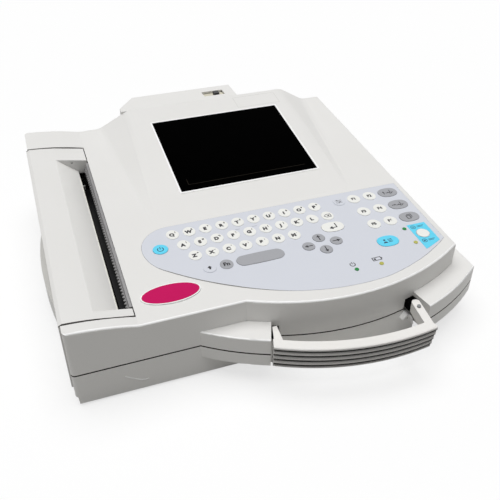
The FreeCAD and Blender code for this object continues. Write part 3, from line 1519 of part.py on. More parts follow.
inlet_shell, inlet_prongs = socket(inlet_across, inlet_width, inlet_height, 3)
node("mains_inlet", fuse(inlet_shell, *inlet_prongs))
serial_shell, serial_prongs = socket(serial_across, serial_width, serial_height, 5)
node("serial_socket", fuse(serial_shell, *serial_prongs))
patient_half = patient_width / 2
patient_rise = patient_height / 2
patient_flange = box(deck_width, deck_width + flange_proud, patient_along - patient_half - flange_margin,
                     patient_along + patient_half + flange_margin,
                     socket_level - patient_rise - flange_margin,
                     socket_level + patient_rise + flange_margin)
patient_body = box(deck_width - socket_depth - 2, deck_width + flange_proud,
                   patient_along - patient_half, patient_along + patient_half,
                   socket_level - patient_rise, socket_level + patient_rise)
patient_mouth = box(deck_width - socket_depth, deck_width + 5, patient_along - patient_half + 2,
                    patient_along + patient_half - 2, socket_level - patient_rise + 2,
                    socket_level + patient_rise - 2)
patient_pins = 8
patient_prongs = []
for pin in range(patient_pins):
    pin_along = patient_along - patient_half + patient_width * (pin + 1) / (patient_pins + 1)
    patient_prongs.append(rod("X", deck_width - socket_depth, pin_along, socket_level, as_dim(0.7),
                              socket_depth - 1))
node("patient_socket", fuse(cut(fuse(patient_flange, patient_body), patient_mouth), *patient_prongs))
stud_collar = rod("Y", stud_across, deck_depth, socket_level, stud_radius + 2, as_dim(2))
stud_pin = rod("Y", stud_across, deck_depth - wall, socket_level, stud_radius, wall + 10)
node("earth_stud", fuse(stud_collar, stud_pin))

doc.recompute()
faults = []
for item in doc.Objects:
    if "Invalid" in item.State or "Error" in item.State:
        faults.append(f"{item.Name} {item.Label} {item.State}")
for item in nodes:
    if item.Shape.isNull() or not item.Shape.isValid() or not item.Shape.Solids:
        faults.append(f"{item.Label} has no valid solid")
if faults:
    raise RuntimeError("; ".join(faults))
os.makedirs("parts", exist_ok=True)
for item in nodes:
    item.Shape.exportStep(f"parts/{item.Label}.step")
print(len(nodes), "sub-parts written")
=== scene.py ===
"""Looks of a desk-top ECG machine: its finishes, printed legends, small trim, light and camera.

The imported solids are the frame. Every piece made here rides one of their bodies, and its place is
read from the frame or given in millimetres from a face of it.
"""
import json
import logging
import math
from abc import ABC, abstractmethod
from collections.abc import Callable
from dataclasses import dataclass
from enum import Enum
from typing import Any

import bmesh
import bpy
from mathutils import Euler, Matrix, Vector

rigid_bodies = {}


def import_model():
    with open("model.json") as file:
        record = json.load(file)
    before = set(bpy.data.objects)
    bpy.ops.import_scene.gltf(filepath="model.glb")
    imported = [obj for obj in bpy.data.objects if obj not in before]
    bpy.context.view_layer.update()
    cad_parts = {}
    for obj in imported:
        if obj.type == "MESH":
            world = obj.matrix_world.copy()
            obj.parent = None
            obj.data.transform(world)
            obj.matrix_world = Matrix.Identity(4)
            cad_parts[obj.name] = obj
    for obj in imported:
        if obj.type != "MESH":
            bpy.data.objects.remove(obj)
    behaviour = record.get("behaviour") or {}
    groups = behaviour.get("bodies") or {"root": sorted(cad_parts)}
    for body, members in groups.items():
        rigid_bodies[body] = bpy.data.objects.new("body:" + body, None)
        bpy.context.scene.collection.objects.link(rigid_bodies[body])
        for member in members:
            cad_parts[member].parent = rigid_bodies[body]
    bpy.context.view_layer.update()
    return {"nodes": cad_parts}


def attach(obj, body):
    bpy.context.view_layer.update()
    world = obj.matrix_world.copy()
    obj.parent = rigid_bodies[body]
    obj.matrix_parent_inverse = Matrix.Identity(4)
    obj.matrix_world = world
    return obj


for stray in list(bpy.data.objects):
    bpy.data.objects.remove(stray)
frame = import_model()
LOG = logging.getLogger("ecg_machine")
MM = 0.001
ACROSS = Vector((1.0, 0.0, 0.0))
FORWARD = Vector((0.0, -1.0, 0.0))
UP = Vector((0.0, 0.0, 1.0))
# Sockets of a Mix node that blends colours: its two inputs and its output
MIX_A = 6
MIX_B = 7
MIX_COLOUR = 2
# Rays that the bevel node and the ambient-occlusion node of the painted crease shade send out from each place
EDGE_SAMPLES = 4
CREASE_SHADE_SAMPLES = 8
# The frame's origin from the left wall, the front wall and the underside, then the rises of deck and hump
ORIGIN_MM = Vector((176.45, 143.1745, -2.5))
DECK_SLOPE = 0.05206
HUMP_SLOPE = 0.14010
# How near two corners are one, and how near a corner is level with a face
WELD_MM = 0.001
LEVEL_MM = 0.02
# The least that a face's direction may agree with another, to look the same way
SAME_WAY = 0.95
# The most that the two faces of a sharp edge agree
SHARP_EDGE = 0.7
# Upward shares of the directions of a face that looks up, and of one that looks aside
LOOKS_UP = 0.9
LOOKS_ASIDE = 0.1
# The least cosine of a mitred corner, which keeps sharp corners short
LEAST_MITRE = 0.35
Point = tuple[float, float]


def machine(across_mm: float, along_mm: float, up_mm: float) -> Vector:
    """Return the frame's place for millimetres from the left wall, the front wall and the underside."""
    return (Vector((across_mm, along_mm, up_mm)) - ORIGIN_MM) * MM


class Body(Enum):
    """The bodies that carry the pieces made here, apart from the caps of the moving keys."""

    HOUSING = "housing"
    DRAWER = "drawer"


class Grain(Enum):
    """The way a metal was brushed, as the axis its scratches run along."""

    ACROSS = 0
    ALONG = 1
    UPRIGHT = 2


def linear(colour: str) -> tuple[float, float, float, float]:
    """Turn an sRGB hex colour into linear RGBA.

    Args:
        colour: a colour such as "#E6E5E3".

    Returns:
        The linear red, green, blue and an alpha of one.
    """
    channels = [int(colour[place:place + 2], 16) / 255 for place in (1, 3, 5)]
    bent = [value / 12.92 if value <= 0.04045 else ((value + 0.055) / 1.055) ** 2.4 for value in channels]
    return bent[0], bent[1], bent[2], 1.0


def per_metre(feature_mm: float) -> float:
    """Return the texture scale whose features are so many millimetres wide."""
    return 1.0 / (feature_mm * MM)


def fill(tree: bpy.types.NodeTree, node: bpy.types.Node, inputs: dict[str | int, Any]) -> None:
    """Set or link a node's inputs.

    Args:
        tree: the tree that holds the node.
        node: the node to fill.
        inputs: input name or number to a value, or to the output socket that feeds it.
    """
    for key, value in inputs.items():
        if isinstance(value, bpy.types.NodeSocket):
            tree.links.new(value, node.inputs[key])
        else:
            node.inputs[key].default_value = value


def add_node(tree: bpy.types.NodeTree, kind: str, inputs: dict[str | int, Any] | None = None,
             **settings: Any) -> bpy.types.Node:
    """Add a shader node with its settings and links.

    Args:
        tree: the tree to add it to.
        kind: the node's type, without the ShaderNode in front.
        inputs: what its inputs hold or are fed by.
        settings: the node's own properties.

    Returns:
        The new node.
    """
    node = tree.nodes.new("ShaderNode" + kind)
    for name, value in settings.items():
        setattr(node, name, value)
    fill(tree, node, inputs or {})
    return node


@dataclass(frozen=True)
class Finish(ABC):
    """A surface finish, which makes its material once."""

    name: str

    def material(self) -> bpy.types.Material:
        """Return the finish's material, made on first use."""
        found = bpy.data.materials.get(self.name)
        if found is not None:
            return found
        material = bpy.data.materials.new(self.name)
        material.use_nodes = True
        tree = material.node_tree
        tree.nodes.clear()
        shader = add_node(tree, "BsdfPrincipled")
        add_node(tree, "OutputMaterial", {"Surface": shader.outputs["BSDF"]})
        self.paint(tree, shader)
        return material

    @abstractmethod
    def paint(self, tree: bpy.types.NodeTree, shader: bpy.types.Node) -> None:
        """Fill the shader of this finish.

        Args:
            tree: the material's node tree.
            shader: its Principled shader.
        """


@dataclass(frozen=True)
class MouldedPlastic(Finish):
    """ABS moulded in a spark-eroded tool: an even fine grain, soft sheen, faintly paler edges that are partly
    wear and partly painted highlight, and painted shade in its seams and creases.

    The real grain is about 0.2 mm, too fine to show, so it is drawn as coarse as it needs to be.
    """

    colour: str
    shade: str
    wear_and_highlight: str
    roughness: float = 0.42
    grain_mm: float = 0.9
    grain_depth_mm: float = 0.016
    cloud_mm: float = 70.0
    edge_mm: float = 0.5
    wear_and_highlight_share: float = 0.5
    crease_shade: float = 0.9
    crease_shade_colour: str = "#2E2820"
    crease_shade_mm: float = 2.4
    crease_shade_open: float = 0.54
    crease_shade_shut: float = 0.36
    specular: float = 0.35
    ior: float = 1.53
    flat_turn: float = 0.98
    sharp_turn: float = 0.75
    gloss_swing: float = 0.07

    def paint(self, tree: bpy.types.NodeTree, shader: bpy.types.Node) -> None:
        """Fill the shader: flow clouds, edges paler with wear and painted highlight, painted shade in the
        seams and creases, grain in gloss and relief.
        """
        place = add_node(tree, "TexCoord").outputs["Object"]
        cloud = add_node(tree, "TexNoise", {"Vector": place, "Scale": per_metre(self.cloud_mm),
                                            "Detail": 2.0})
        tone = add_node(tree, "Mix", {0: cloud.outputs[0], MIX_A: linear(self.colour),
                                      MIX_B: linear(self.shade)}, data_type="RGBA")
        edge = add_node(tree, "Bevel", {"Radius": self.edge_mm * MM}, samples=EDGE_SAMPLES)
        face = add_node(tree, "NewGeometry")
        turn = add_node(tree, "VectorMath", {0: edge.outputs[0], 1: face.outputs["Normal"]},
                        operation="DOT_PRODUCT")
        # painted highlight, partly wear: near a rounded edge the colour turns paler
        wear_and_highlight_mask = add_node(tree, "MapRange", {"Value": turn.outputs["Value"], "From Min": self.flat_turn,
                                           "From Max": self.sharp_turn, "To Max": self.wear_and_highlight_share})
        colour = add_node(tree, "Mix", {0: wear_and_highlight_mask.outputs[0], MIX_A: tone.outputs[MIX_COLOUR],
                                        MIX_B: linear(self.wear_and_highlight)}, data_type="RGBA")
        # painted shade: ambient occlusion darkens seams, creases and corners towards a dark brown
        open_share = add_node(tree, "AmbientOcclusion", {"Distance": self.crease_shade_mm * MM}, samples=CREASE_SHADE_SAMPLES)
        crease_shaded = add_node(tree, "MapRange", {"Value": open_share.outputs["AO"], "From Min": self.crease_shade_open,
                                             "From Max": self.crease_shade_shut, "To Max": self.crease_shade})
        painted_dark = self.painted_shade_share(tree, crease_shaded.outputs[0])
        shaded_colour = add_node(tree, "Mix", {0: painted_dark, MIX_A: colour.outputs[MIX_COLOUR],
                                      MIX_B: linear(self.crease_shade_colour)}, data_type="RGBA")
        grain = add_node(tree, "TexNoise", {"Vector": place, "Scale": per_metre(self.grain_mm),
                                            "Detail": 3.0, "Roughness": 0.65})
        gloss = add_node(tree, "MapRange", {"Value": grain.outputs[0],
                                            "To Min": self.roughness - self.gloss_swing,
                                            "To Max": self.roughness + self.gloss_swing})
        relief = add_node(tree, "Bump", {"Strength": 1.0, "Distance": self.grain_depth_mm * MM,
                                         "Height": grain.outputs[0],
                                         "Normal": self.tilted(tree, edge.outputs[0])})
        fill(tree, shader, {"Base Color": shaded_colour.outputs[MIX_COLOUR], "Roughness": gloss.outputs[0],
                            "Normal": relief.outputs[0], "IOR": self.ior,
                            "Specular IOR Level": self.specular})

    def painted_shade_share(self, tree: bpy.types.NodeTree, crease_shaded: bpy.types.NodeSocket) -> bpy.types.NodeSocket:
        """Return how much painted shade each place takes.

        Args:
            tree: the material's node tree.
            crease_shaded: the painted shade in the seams and creases.

        Returns:
            The share of painted shade.
        """
        return crease_shaded

    def tilted(self, tree: bpy.types.NodeTree, normal: bpy.types.NodeSocket) -> bpy.types.NodeSocket:
        """Return the way the surface looks.

        Args:
            tree: the material's node tree.
            normal: the way its geometry looks.

        Returns:
            The same way.
        """
        return normal


@dataclass(frozen=True)
class RibbedPlastic(MouldedPlastic):
    """The same ABS on ribs that are gripped: a dark band along each rib's lower edge, painted groove shade
    and dirt.
    """

    lowest_mm: float = 27.9
    pitch_mm: float = 6.0
    rib_mm: float = 4.4
    dark_band_mm: float = 0.8
    dark_band_core: float = 0.8
    count: int = 4
    lean: float = 1.1
    crown_mm: float = 1.3
    crown_lean: float = 2.2
    front_look: float = -0.5

    def rise(self, tree: bpy.types.NodeTree) -> tuple[bpy.types.NodeSocket, bpy.types.NodeSocket]:
        """Return how high each place is above the foot of the lowest full rib, and of its own rib.

        Args:
            tree: the material's node tree.

        Returns:
            The two heights.
        """
        place = add_node(tree, "TexCoord").outputs["Object"]
        height = add_node(tree, "SeparateXYZ", {0: place}).outputs["Z"]
        level = add_node(tree, "Math", {0: height, 1: self.lowest_mm * MM}, operation="SUBTRACT").outputs[0]
        phase = add_node(tree, "Math", {0: level, 1: self.pitch_mm * MM, 2: 0.0}, operation="WRAP")
        return level, phase.outputs[0]

    def front(self, tree: bpy.types.NodeTree) -> bpy.types.NodeSocket:
        """Return 1 on the faces that look forward, which carry the ribs, and 0 elsewhere."""
        normal = add_node(tree, "NewGeometry").outputs["Normal"]
        look = add_node(tree, "SeparateXYZ", {0: normal}).outputs["Y"]
        return add_node(tree, "Math", {0: look, 1: self.front_look}, operation="LESS_THAN").outputs[0]

    def tilted(self, tree: bpy.types.NodeTree, normal: bpy.types.NodeSocket) -> bpy.types.NodeSocket:
        """Return the way the surface looks: the ribs lean back to clear their tool, with round upper edges.

        Args:
            tree: the material's node tree.
            normal: the way its geometry looks.

        Returns:
            That way, turned upwards.
        """
        _, phase = self.rise(tree)
        crown = add_node(tree, "MapRange", {"Value": phase, "From Min": (self.rib_mm - self.crown_mm) * MM,
                                            "From Max": (self.rib_mm - self.crown_mm / 2) * MM,
                                            "To Min": self.lean, "To Max": self.crown_lean}).outputs[0]
        lift = add_node(tree, "Math", {0: crown, 1: self.front(tree)}, operation="MULTIPLY").outputs[0]
        upward = add_node(tree, "CombineXYZ", {"Z": lift}).outputs[0]
        raised = add_node(tree, "VectorMath", {0: normal, 1: upward}, operation="ADD").outputs[0]
        return add_node(tree, "VectorMath", {0: raised}, operation="NORMALIZE").outputs[0]

    def painted_shade_share(self, tree: bpy.types.NodeTree, crease_shaded: bpy.types.NodeSocket) -> bpy.types.NodeSocket:
        """Return the painted crease shade or the dark band along the lower edges of the ribs, whichever is
        more.

        Args:
            tree: the material's node tree.
            crease_shaded: the painted shade in the seams and creases.

        Returns:
            The share of painted shade and dirt.
        """
        level, phase = self.rise(tree)
        # painted shade and dirt: the lowest part of each rib darkens, widening the dark of the groove below
        # it
        band = add_node(tree, "MapRange", {"Value": phase, "From Min": self.dark_band_mm * MM,
                                           "From Max": self.dark_band_mm * MM * self.dark_band_core,
                                           "To Max": self.crease_shade}).outputs[0]
        above = add_node(tree, "Math", {0: level, 1: 0.0}, operation="GREATER_THAN").outputs[0]
        below = add_node(tree, "Math", {0: level, 1: self.pitch_mm * MM * self.count},
                         operation="LESS_THAN").outputs[0]
        inside = add_node(tree, "Math", {0: above, 1: below}, operation="MULTIPLY").outputs[0]
        shown = add_node(tree, "Math", {0: inside, 1: self.front(tree)}, operation="MULTIPLY").outputs[0]
        dark_band = add_node(tree, "Math", {0: band, 1: shown}, operation="MULTIPLY").outputs[0]
        return add_node(tree, "Math", {0: crease_shaded, 1: dark_band}, operation="MAXIMUM").outputs[0]


@dataclass(frozen=True)
class PrintedFilm(Finish):
    """Polyester film, screen-printed on its back and velvet-textured in front: flat colour, dull sheen."""

    colour: str
    shade: str
    roughness: float = 0.5
    velvet_mm: float = 0.5
    velvet_depth_mm: float = 0.006
    cloud_mm: float = 35.0
    edge_mm: float = 0.35
    gloss_swing: float = 0.06
    ior: float = 1.57
    specular: float = 0.25

    def paint(self, tree: bpy.types.NodeTree, shader: bpy.types.Node) -> None:
        """Fill the shader: ink laid a little unevenly under a fine velvet."""
        place = add_node(tree, "TexCoord").outputs["Object"]
        cloud = add_node(tree, "TexNoise", {"Vector": place, "Scale": per_metre(self.cloud_mm),
                                            "Detail": 3.0})
        tone = add_node(tree, "Mix", {0: cloud.outputs[0], MIX_A: linear(self.colour),
                                      MIX_B: linear(self.shade)}, data_type="RGBA")
        edge = add_node(tree, "Bevel", {"Radius": self.edge_mm * MM}, samples=EDGE_SAMPLES)
        velvet = add_node(tree, "TexNoise", {"Vector": place, "Scale": per_metre(self.velvet_mm),
                                             "Detail": 2.0})
        relief = add_node(tree, "Bump", {"Strength": 1.0, "Distance": self.velvet_depth_mm * MM,
                                         "Height": velvet.outputs[0], "Normal": edge.outputs[0]})
        gloss = add_node(tree, "MapRange", {"Value": velvet.outputs[0],
                                            "To Min": self.roughness - self.gloss_swing,
                                            "To Max": self.roughness + self.gloss_swing})
        fill(tree, shader, {"Base Color": tone.outputs[MIX_COLOUR], "Roughness": gloss.outputs[0],
                            "Normal": relief.outputs[0], "IOR": self.ior,
                            "Specular IOR Level": self.specular})


@dataclass(frozen=True)
class GlossPlastic(Finish):
    """Polished acrylic, resin or glaze: deep colour, a crisp gloss and faint wiping marks."""

    colour: str
    shade: str
    roughness: float = 0.08
    specular: float = 0.5
    smear_mm: float = 18.0
    wiped: Point = (0.35, 0.75)
    dulling: float = 1.8
    edge_mm: float = 0.3
    ior: float = 1.49

    def paint(self, tree: bpy.types.NodeTree, shader: bpy.types.Node) -> None:
        """Fill the shader: two close tones, with the gloss dulled a little where it was wiped."""
        place = add_node(tree, "TexCoord").outputs["Object"]
        smear = add_node(tree, "TexNoise", {"Vector": place, "Scale": per_metre(self.smear_mm),
                                            "Detail": 4.0, "Distortion": 0.6})
        tone = add_node(tree, "Mix", {0: smear.outputs[0], MIX_A: linear(self.colour),
                                      MIX_B: linear(self.shade)}, data_type="RGBA")
        gloss = add_node(tree, "MapRange", {"Value": smear.outputs[0], "From Min": self.wiped[0],
                                            "From Max": self.wiped[1], "To Min": self.roughness,
                                            "To Max": self.roughness * self.dulling})
        edge = add_node(tree, "Bevel", {"Radius": self.edge_mm * MM}, samples=EDGE_SAMPLES)
        fill(tree, shader, {"Base Color": tone.outputs[MIX_COLOUR], "Roughness": gloss.outputs[0],
                            "Normal": edge.outputs[0], "IOR": self.ior,
                            "Specular IOR Level": self.specular})


@dataclass(frozen=True)
class BrushedMetal(Finish):
    """Metal finished on a belt: fine scratches one way, which stretch its highlights across them."""

    colour: str
    shade: str
    grain: Grain
    roughness: float = 0.35
    scratch_mm: float = 0.4
    scratch_length_mm: float = 30.0
    scratch_depth_mm: float = 0.01
    scratch_strength: float = 0.6
    smoother: float = 0.1
    rougher: float = 0.15
    edge_mm: float = 0.2

    def paint(self, tree: bpy.types.NodeTree, shader: bpy.types.Node) -> None:
        """Fill the shader: long thin scratches in tone, gloss and relief."""
        place = add_node(tree, "TexCoord").outputs["Object"]
        stretch = [per_metre(self.scratch_mm)] * 3
        stretch[self.grain.value] = per_metre(self.scratch_length_mm)
        brushed = add_node(tree, "Mapping", {"Vector": place, "Scale": stretch})
        scratch = add_node(tree, "TexNoise", {"Vector": brushed.outputs[0], "Scale": 1.0, "Detail": 3.0})
        tone = add_node(tree, "Mix", {0: scratch.outputs[0], MIX_A: linear(self.colour),
                                      MIX_B: linear(self.shade)}, data_type="RGBA")
        gloss = add_node(tree, "MapRange", {"Value": scratch.outputs[0],
                                            "To Min": self.roughness - self.smoother,
                                            "To Max": self.roughness + self.rougher})
        edge = add_node(tree, "Bevel", {"Radius": self.edge_mm * MM}, samples=EDGE_SAMPLES)
        relief = add_node(tree, "Bump", {"Strength": self.scratch_strength,
                                         "Distance": self.scratch_depth_mm * MM,
                                         "Height": scratch.outputs[0], "Normal": edge.outputs[0]})
        fill(tree, shader, {"Base Color": tone.outputs[MIX_COLOUR], "Roughness": gloss.outputs[0],
                            "Normal": relief.outputs[0], "Metallic": 1.0})


@dataclass(frozen=True)
class MouldedRubber(Finish):
    """Moulded rubber, or painted shade in seams and gaps as dull as that: near-black, with a fine tooth that
    takes dust.
    """

    colour: str
    dust: str
    roughness: float = 0.75
    tooth_mm: float = 0.6
    tooth_depth_mm: float = 0.03
    tooth_strength: float = 0.8
    dusted: Point = (0.5, 0.8)
    ior: float = 1.52

    def paint(self, tree: bpy.types.NodeTree, shader: bpy.types.Node) -> None:
        """Fill the shader: a toothed surface whose peaks are a little paler."""
        place = add_node(tree, "TexCoord").outputs["Object"]
        tooth = add_node(tree, "TexNoise", {"Vector": place, "Scale": per_metre(self.tooth_mm),
                                            "Detail": 4.0})
        dusted = add_node(tree, "MapRange", {"Value": tooth.outputs[0], "From Min": self.dusted[0],
                                             "From Max": self.dusted[1]})
        tone = add_node(tree, "Mix", {0: dusted.outputs[0], MIX_A: linear(self.colour),
                                      MIX_B: linear(self.dust)}, data_type="RGBA")
        relief = add_node(tree, "Bump", {"Strength": self.tooth_strength,
                                         "Distance": self.tooth_depth_mm * MM, "Height": tooth.outputs[0]})
        fill(tree, shader, {"Base Color": tone.outputs[MIX_COLOUR], "Roughness": self.roughness,
                            "Normal": relief.outputs[0], "IOR": self.ior})


@dataclass(frozen=True)
class PrintedInk(Finish):
    """Screen ink: a dense even tone, a little thin in places, with no gloss; it also draws the painted shadow
    line along the overlay's pocket.
    """

    colour: str
    thin: str
    roughness: float = 0.6
    mesh_mm: float = 0.7
    specular: float = 0.5
    thinned: Point = (0.55, 0.8)
    ior: float = 1.5

    def paint(self, tree: bpy.types.NodeTree, shader: bpy.types.Node) -> None:
        """Fill the shader: ink that is thinner where the screen's mesh held it back."""
        place = add_node(tree, "TexCoord").outputs["Object"]
        mesh = add_node(tree, "TexNoise", {"Vector": place, "Scale": per_metre(self.mesh_mm), "Detail": 2.0})
        thinned = add_node(tree, "MapRange", {"Value": mesh.outputs[0], "From Min": self.thinned[0],
                                              "From Max": self.thinned[1]})
        tone = add_node(tree, "Mix", {0: thinned.outputs[0], MIX_A: linear(self.colour),
                                      MIX_B: linear(self.thin)}, data_type="RGBA")
        fill(tree, shader, {"Base Color": tone.outputs[MIX_COLOUR], "Roughness": self.roughness,
                            "IOR": self.ior, "Specular IOR Level": self.specular})


# Off-white ABS of the covers: warm, even, softly shining on its rounded edges
COVER_ABS = MouldedPlastic("abs_off_white_spark_eroded", "#E7E6E4", "#E3E2DF", "#F3F3F1")
# The same ABS on the drawer, from another tool: a hair greyer
DRAWER_ABS = MouldedPlastic("abs_off_white_drawer", "#E6E5E3", "#E2E1DE", "#F2F1EF")
# The drawer's grip, under the door's overhang: greyer than the other mouldings as painted shade from the
# door, with more painted shade in its creases
GRIP_SHADED_ABS = MouldedPlastic("abs_grip_grey_painted_shade", "#D0CFCC", "#CBCAC6", "#EDECE9", crease_shade_open=0.62,
                          crease_shade_shut=0.42)
# Slope that the paper leaves by: smoother, and paler than the rest of the door as painted light, as bright as
# the lit deck
SLOPE_LIT_ABS = MouldedPlastic("abs_paper_slope_painted_light", "#F3F2EF", "#F0EFEC", "#F8F7F5", 0.36)
# Lip of that slope: the palest, creamiest line on the drawer, a painted highlight along the slope's edge
LIP_HIGHLIGHT_ABS = MouldedPlastic("abs_cream_lip_painted_highlight", "#F6F5EC", "#F3F1E6", "#FAF9F2", 0.3, grain_depth_mm=0.004,
                         crease_shade=0.0)
# Painted shade in the seam between the covers and along the ends of the door: a dull near-black brown
SEAM_SHADE = MouldedRubber("seam_painted_shade", "#1D1712", "#2C241D", 0.9)
# ABS of the handle, handled daily: smoother, with paler ridges that are a painted highlight and near-black
# painted shade in its grooves
HANDLE_ABS = RibbedPlastic("abs_off_white_handle", "#F0EEEB", "#EBE9E5", "#FFFFFF", 0.36, edge_mm=0.6,
                           wear_and_highlight_share=0.9, crease_shade=1.0, crease_shade_colour="#060402", crease_shade_mm=3.5, crease_shade_open=0.66,
                           crease_shade_shut=0.46, specular=0.2)
# Head of the handle's pin: grey acetal
PIN_ACETAL = MouldedPlastic("acetal_grey_pin", "#8E9092", "#86888A", "#A2A4A6", 0.45)
# Front edges of the top cover: a paler, glossier roll than the deck, white as a painted highlight
EDGE_HIGHLIGHT_ABS = MouldedPlastic("abs_front_edge_painted_highlight", "#FFFFFF", "#FDFDFC", "#FFFFFF", 0.3,
                          grain_depth_mm=0.004, crease_shade=0.0)
# Bead round the display and the trim of the front: glossy, and white as painted highlights, the brightest
# lines on the housing
BEAD_HIGHLIGHT_ABS = MouldedPlastic("abs_white_bead_painted_highlight", "#FFFFFF", "#FDFDFC", "#FFFFFF", 0.25,
                          grain_depth_mm=0.004, crease_shade=0.0)
# Cream acetal of the rear catch: waxy and warmer than the covers
CATCH_ACETAL = MouldedPlastic("acetal_cream_moulded", "#DAD6C6", "#D3CEBB", "#E8E5D9", 0.34)
# Black glass-filled nylon of sockets and guides: dull, greyish on its edges
BLACK_NYLON = MouldedPlastic("nylon_black_glass_filled", "#121213", "#1A1A1B", "#3A3A3B", 0.5)
# The handle's links and what shows behind them: matt black painted shade, with no light on it
LINK_SHADE = MouldedPlastic("black_painted_shade_behind_arms", "#040404", "#050505", "#0A0A0A", 0.7, specular=0.02)
# Black acetal of the gear: slippery, a little greasy and paler on its teeth; also kept black as painted
# shade, so that it reads dark at the far end of the paper slot
GEAR_ACETAL = MouldedPlastic("acetal_black_gear", "#161617", "#1D1D1E", "#3C3C3D", 0.4)
# Board laminate under green solder mask: mottled by the copper beneath
BOARD_LAMINATE = GlossPlastic("solder_masked_laminate", "#16502C", "#0F3D22", 0.3, smear_mm=6.0)
# Shrink wrap round the battery cells
BATTERY_WRAP = GlossPlastic("pvc_shrink_wrap_blue", "#243065", "#1C2755", 0.25)
# Display window: acrylic with an anti-glare coat, black right through
WINDOW_ACRYLIC = GlossPlastic("acrylic_black_coated", "#000000", "#010101", 0.12, 0.002)
# Lavender-grey overlay film over the whole keypad
OVERLAY_FILM = PrintedFilm("polyester_film_lavender_grey", "#D6D9E1", "#D3D6DE")
# White, grey and sky-blue key caps under the film
WHITE_FILM = PrintedFilm("polyester_film_warm_white", "#F1F1ED", "#EDEDE8")
GREY_FILM = PrintedFilm("polyester_film_mid_grey", "#A6A7AB", "#A2A3A8")
BLUE_FILM = PrintedFilm("polyester_film_sky_blue", "#66D9F6", "#60D4F3", 0.42)
# Lens plastic of the four lights, unlit
GREEN_LENS = GlossPlastic("lens_plastic_green", "#078A3A", "#067A33", 0.15)
YELLOW_LENS = GlossPlastic("lens_plastic_straw", "#BDBB58", "#AFAD4B", 0.15)
# Badge: a magenta field in a clear dome, with a white printed rim
BADGE_FIELD = GlossPlastic("domed_resin_magenta", "#CB1761", "#C3145B", 0.3, 0.06)
BADGE_RIM = GlossPlastic("gloss_ink_white", "#F8FAF9", "#F4F6F5", 0.3)
# Rubber of the feet, and of the platen, which is ground smooth
FOOT_RUBBER = MouldedRubber("rubber_black_moulded", "#141414", "#2B2A29")
PLATEN_RUBBER = MouldedRubber("rubber_black_ground", "#0E0F14", "#1C1E26", 0.45)
# Metals inside and on the tear bar
SHEET_STEEL = BrushedMetal("steel_zinc_plated_sheet", "#B4B6B8", "#9FA1A4", Grain.ACROSS, 0.4)
SHAFT_STEEL = BrushedMetal("steel_blackened_shaft", "#4A4B4D", "#3B3C3E", Grain.ALONG, 0.35)
BAR_STEEL = BrushedMetal("steel_brushed_tear_bar", "#8B8A8A", "#6F6E6F", Grain.ALONG, 0.5)
SCREW_STEEL = BrushedMetal("steel_zinc_plated_screw", "#B9BABB", "#A0A1A2", Grain.UPRIGHT, 0.35)
MOTOR_STEEL = BrushedMetal("steel_motor_can", "#8F9092", "#7B7C7E", Grain.ALONG, 0.4)
# Print head: a glazed ceramic strip, which is black in the paper slot
HEAD_CERAMIC = GlossPlastic("ceramic_black_glazed", "#0E0E10", "#141416", 0.3, 0.2)
PINION_BRASS = BrushedMetal("brass_blackened_pinion", "#2E2A22", "#241F18", Grain.ALONG, 0.4)
STUD_BRASS = BrushedMetal("brass_nickel_plated", "#CFCBBE", "#BBB6A6", Grain.ALONG, 0.22)
# Screen inks of the legends
DARK_INK = PrintedInk("screen_ink_black_violet", "#0E0C14", "#1E1C26")
BLUE_INK = PrintedInk("screen_ink_navy", "#12304A", "#24506E")
FAINT_INK = PrintedInk("screen_ink_window_border", "#1A1712", "#080706", mesh_mm=3.0, specular=0.02)
PALE_INK = PrintedInk("screen_ink_pale_grey", "#AEB1BC", "#BCBFC9")
# Fine line where the overlay's pocket is open: painted shadow of the pocket's wall, dark grey; and a faint
# grey line round the blank nameplate
GAP_SHADOW_INK = PrintedInk("painted_shadow_of_overlay_pocket", "#6E6C66", "#85837D")
PLATE_LINE_INK = PrintedInk("grey_line_round_nameplate", "#CCCBC7", "#D6D5D2")


@dataclass(frozen=True)
class Face:
    """A flat face of the frame: a point on it and its three directions, in metres."""

    origin: Vector
    across: Vector
    along: Vector
    up: Vector

    def point(self, across_mm: float, along_mm: float, up_mm: float = 0.0) -> Vector:
        """Return the place so many millimetres across, along and above the face's origin."""
        return self.origin + (self.across * across_mm + self.along * along_mm + self.up * up_mm) * MM

    def moved(self, origin: Vector) -> "Face":
        """Return the same face with its origin elsewhere."""
        return Face(origin, self.across, self.along, self.up)

    def matrix(self) -> Matrix:
        """Return the matrix that takes millimetres on the face to the frame."""
        turn = Matrix((self.across, self.along, self.up)).transposed().to_4x4()
        return Matrix.Translation(self.origin) @ turn @ Matrix.Scale(MM, 4)


def solids_of(node: str) -> list[list[Vector]]:
    """Find the separate solids of a frame node.

    Args:
        node: the node's name.

    Returns:
        The corner points of each solid, in the order of the node's mesh.
    """
    mesh = bmesh.new()
    mesh.from_mesh(frame["nodes"][node].data)
    bmesh.ops.remove_doubles(mesh, verts=mesh.verts, dist=WELD_MM * MM)
    waiting = set(mesh.verts)
    found = []
    for first in mesh.verts:
        if first not in waiting:
            continue
        waiting.discard(first)
        reached = [first]
        for corner in reached:
            onward = [edge.other_vert(corner) for edge in corner.link_edges]
            fresh = [other for other in onward if other in waiting]
            waiting.difference_update(fresh)
            reached.extend(fresh)
        found.append([corner.co.copy() for corner in reached])
    mesh.free()
    return found


def facing(node: str, towards: Vector) -> Vector:
    """Find which way a node's broad face looks.

    Args:
        node: the node's name.
        towards: roughly that way.

    Returns:
        The mean direction, by area, of the faces within about 18 degrees of it.
    """
    total = Vector((0.0, 0.0, 0.0))
    for polygon in frame["nodes"][node].data.polygons:
        if polygon.normal.dot(towards) > SAME_WAY:
            total += polygon.normal * polygon.area
    return total.normalized()


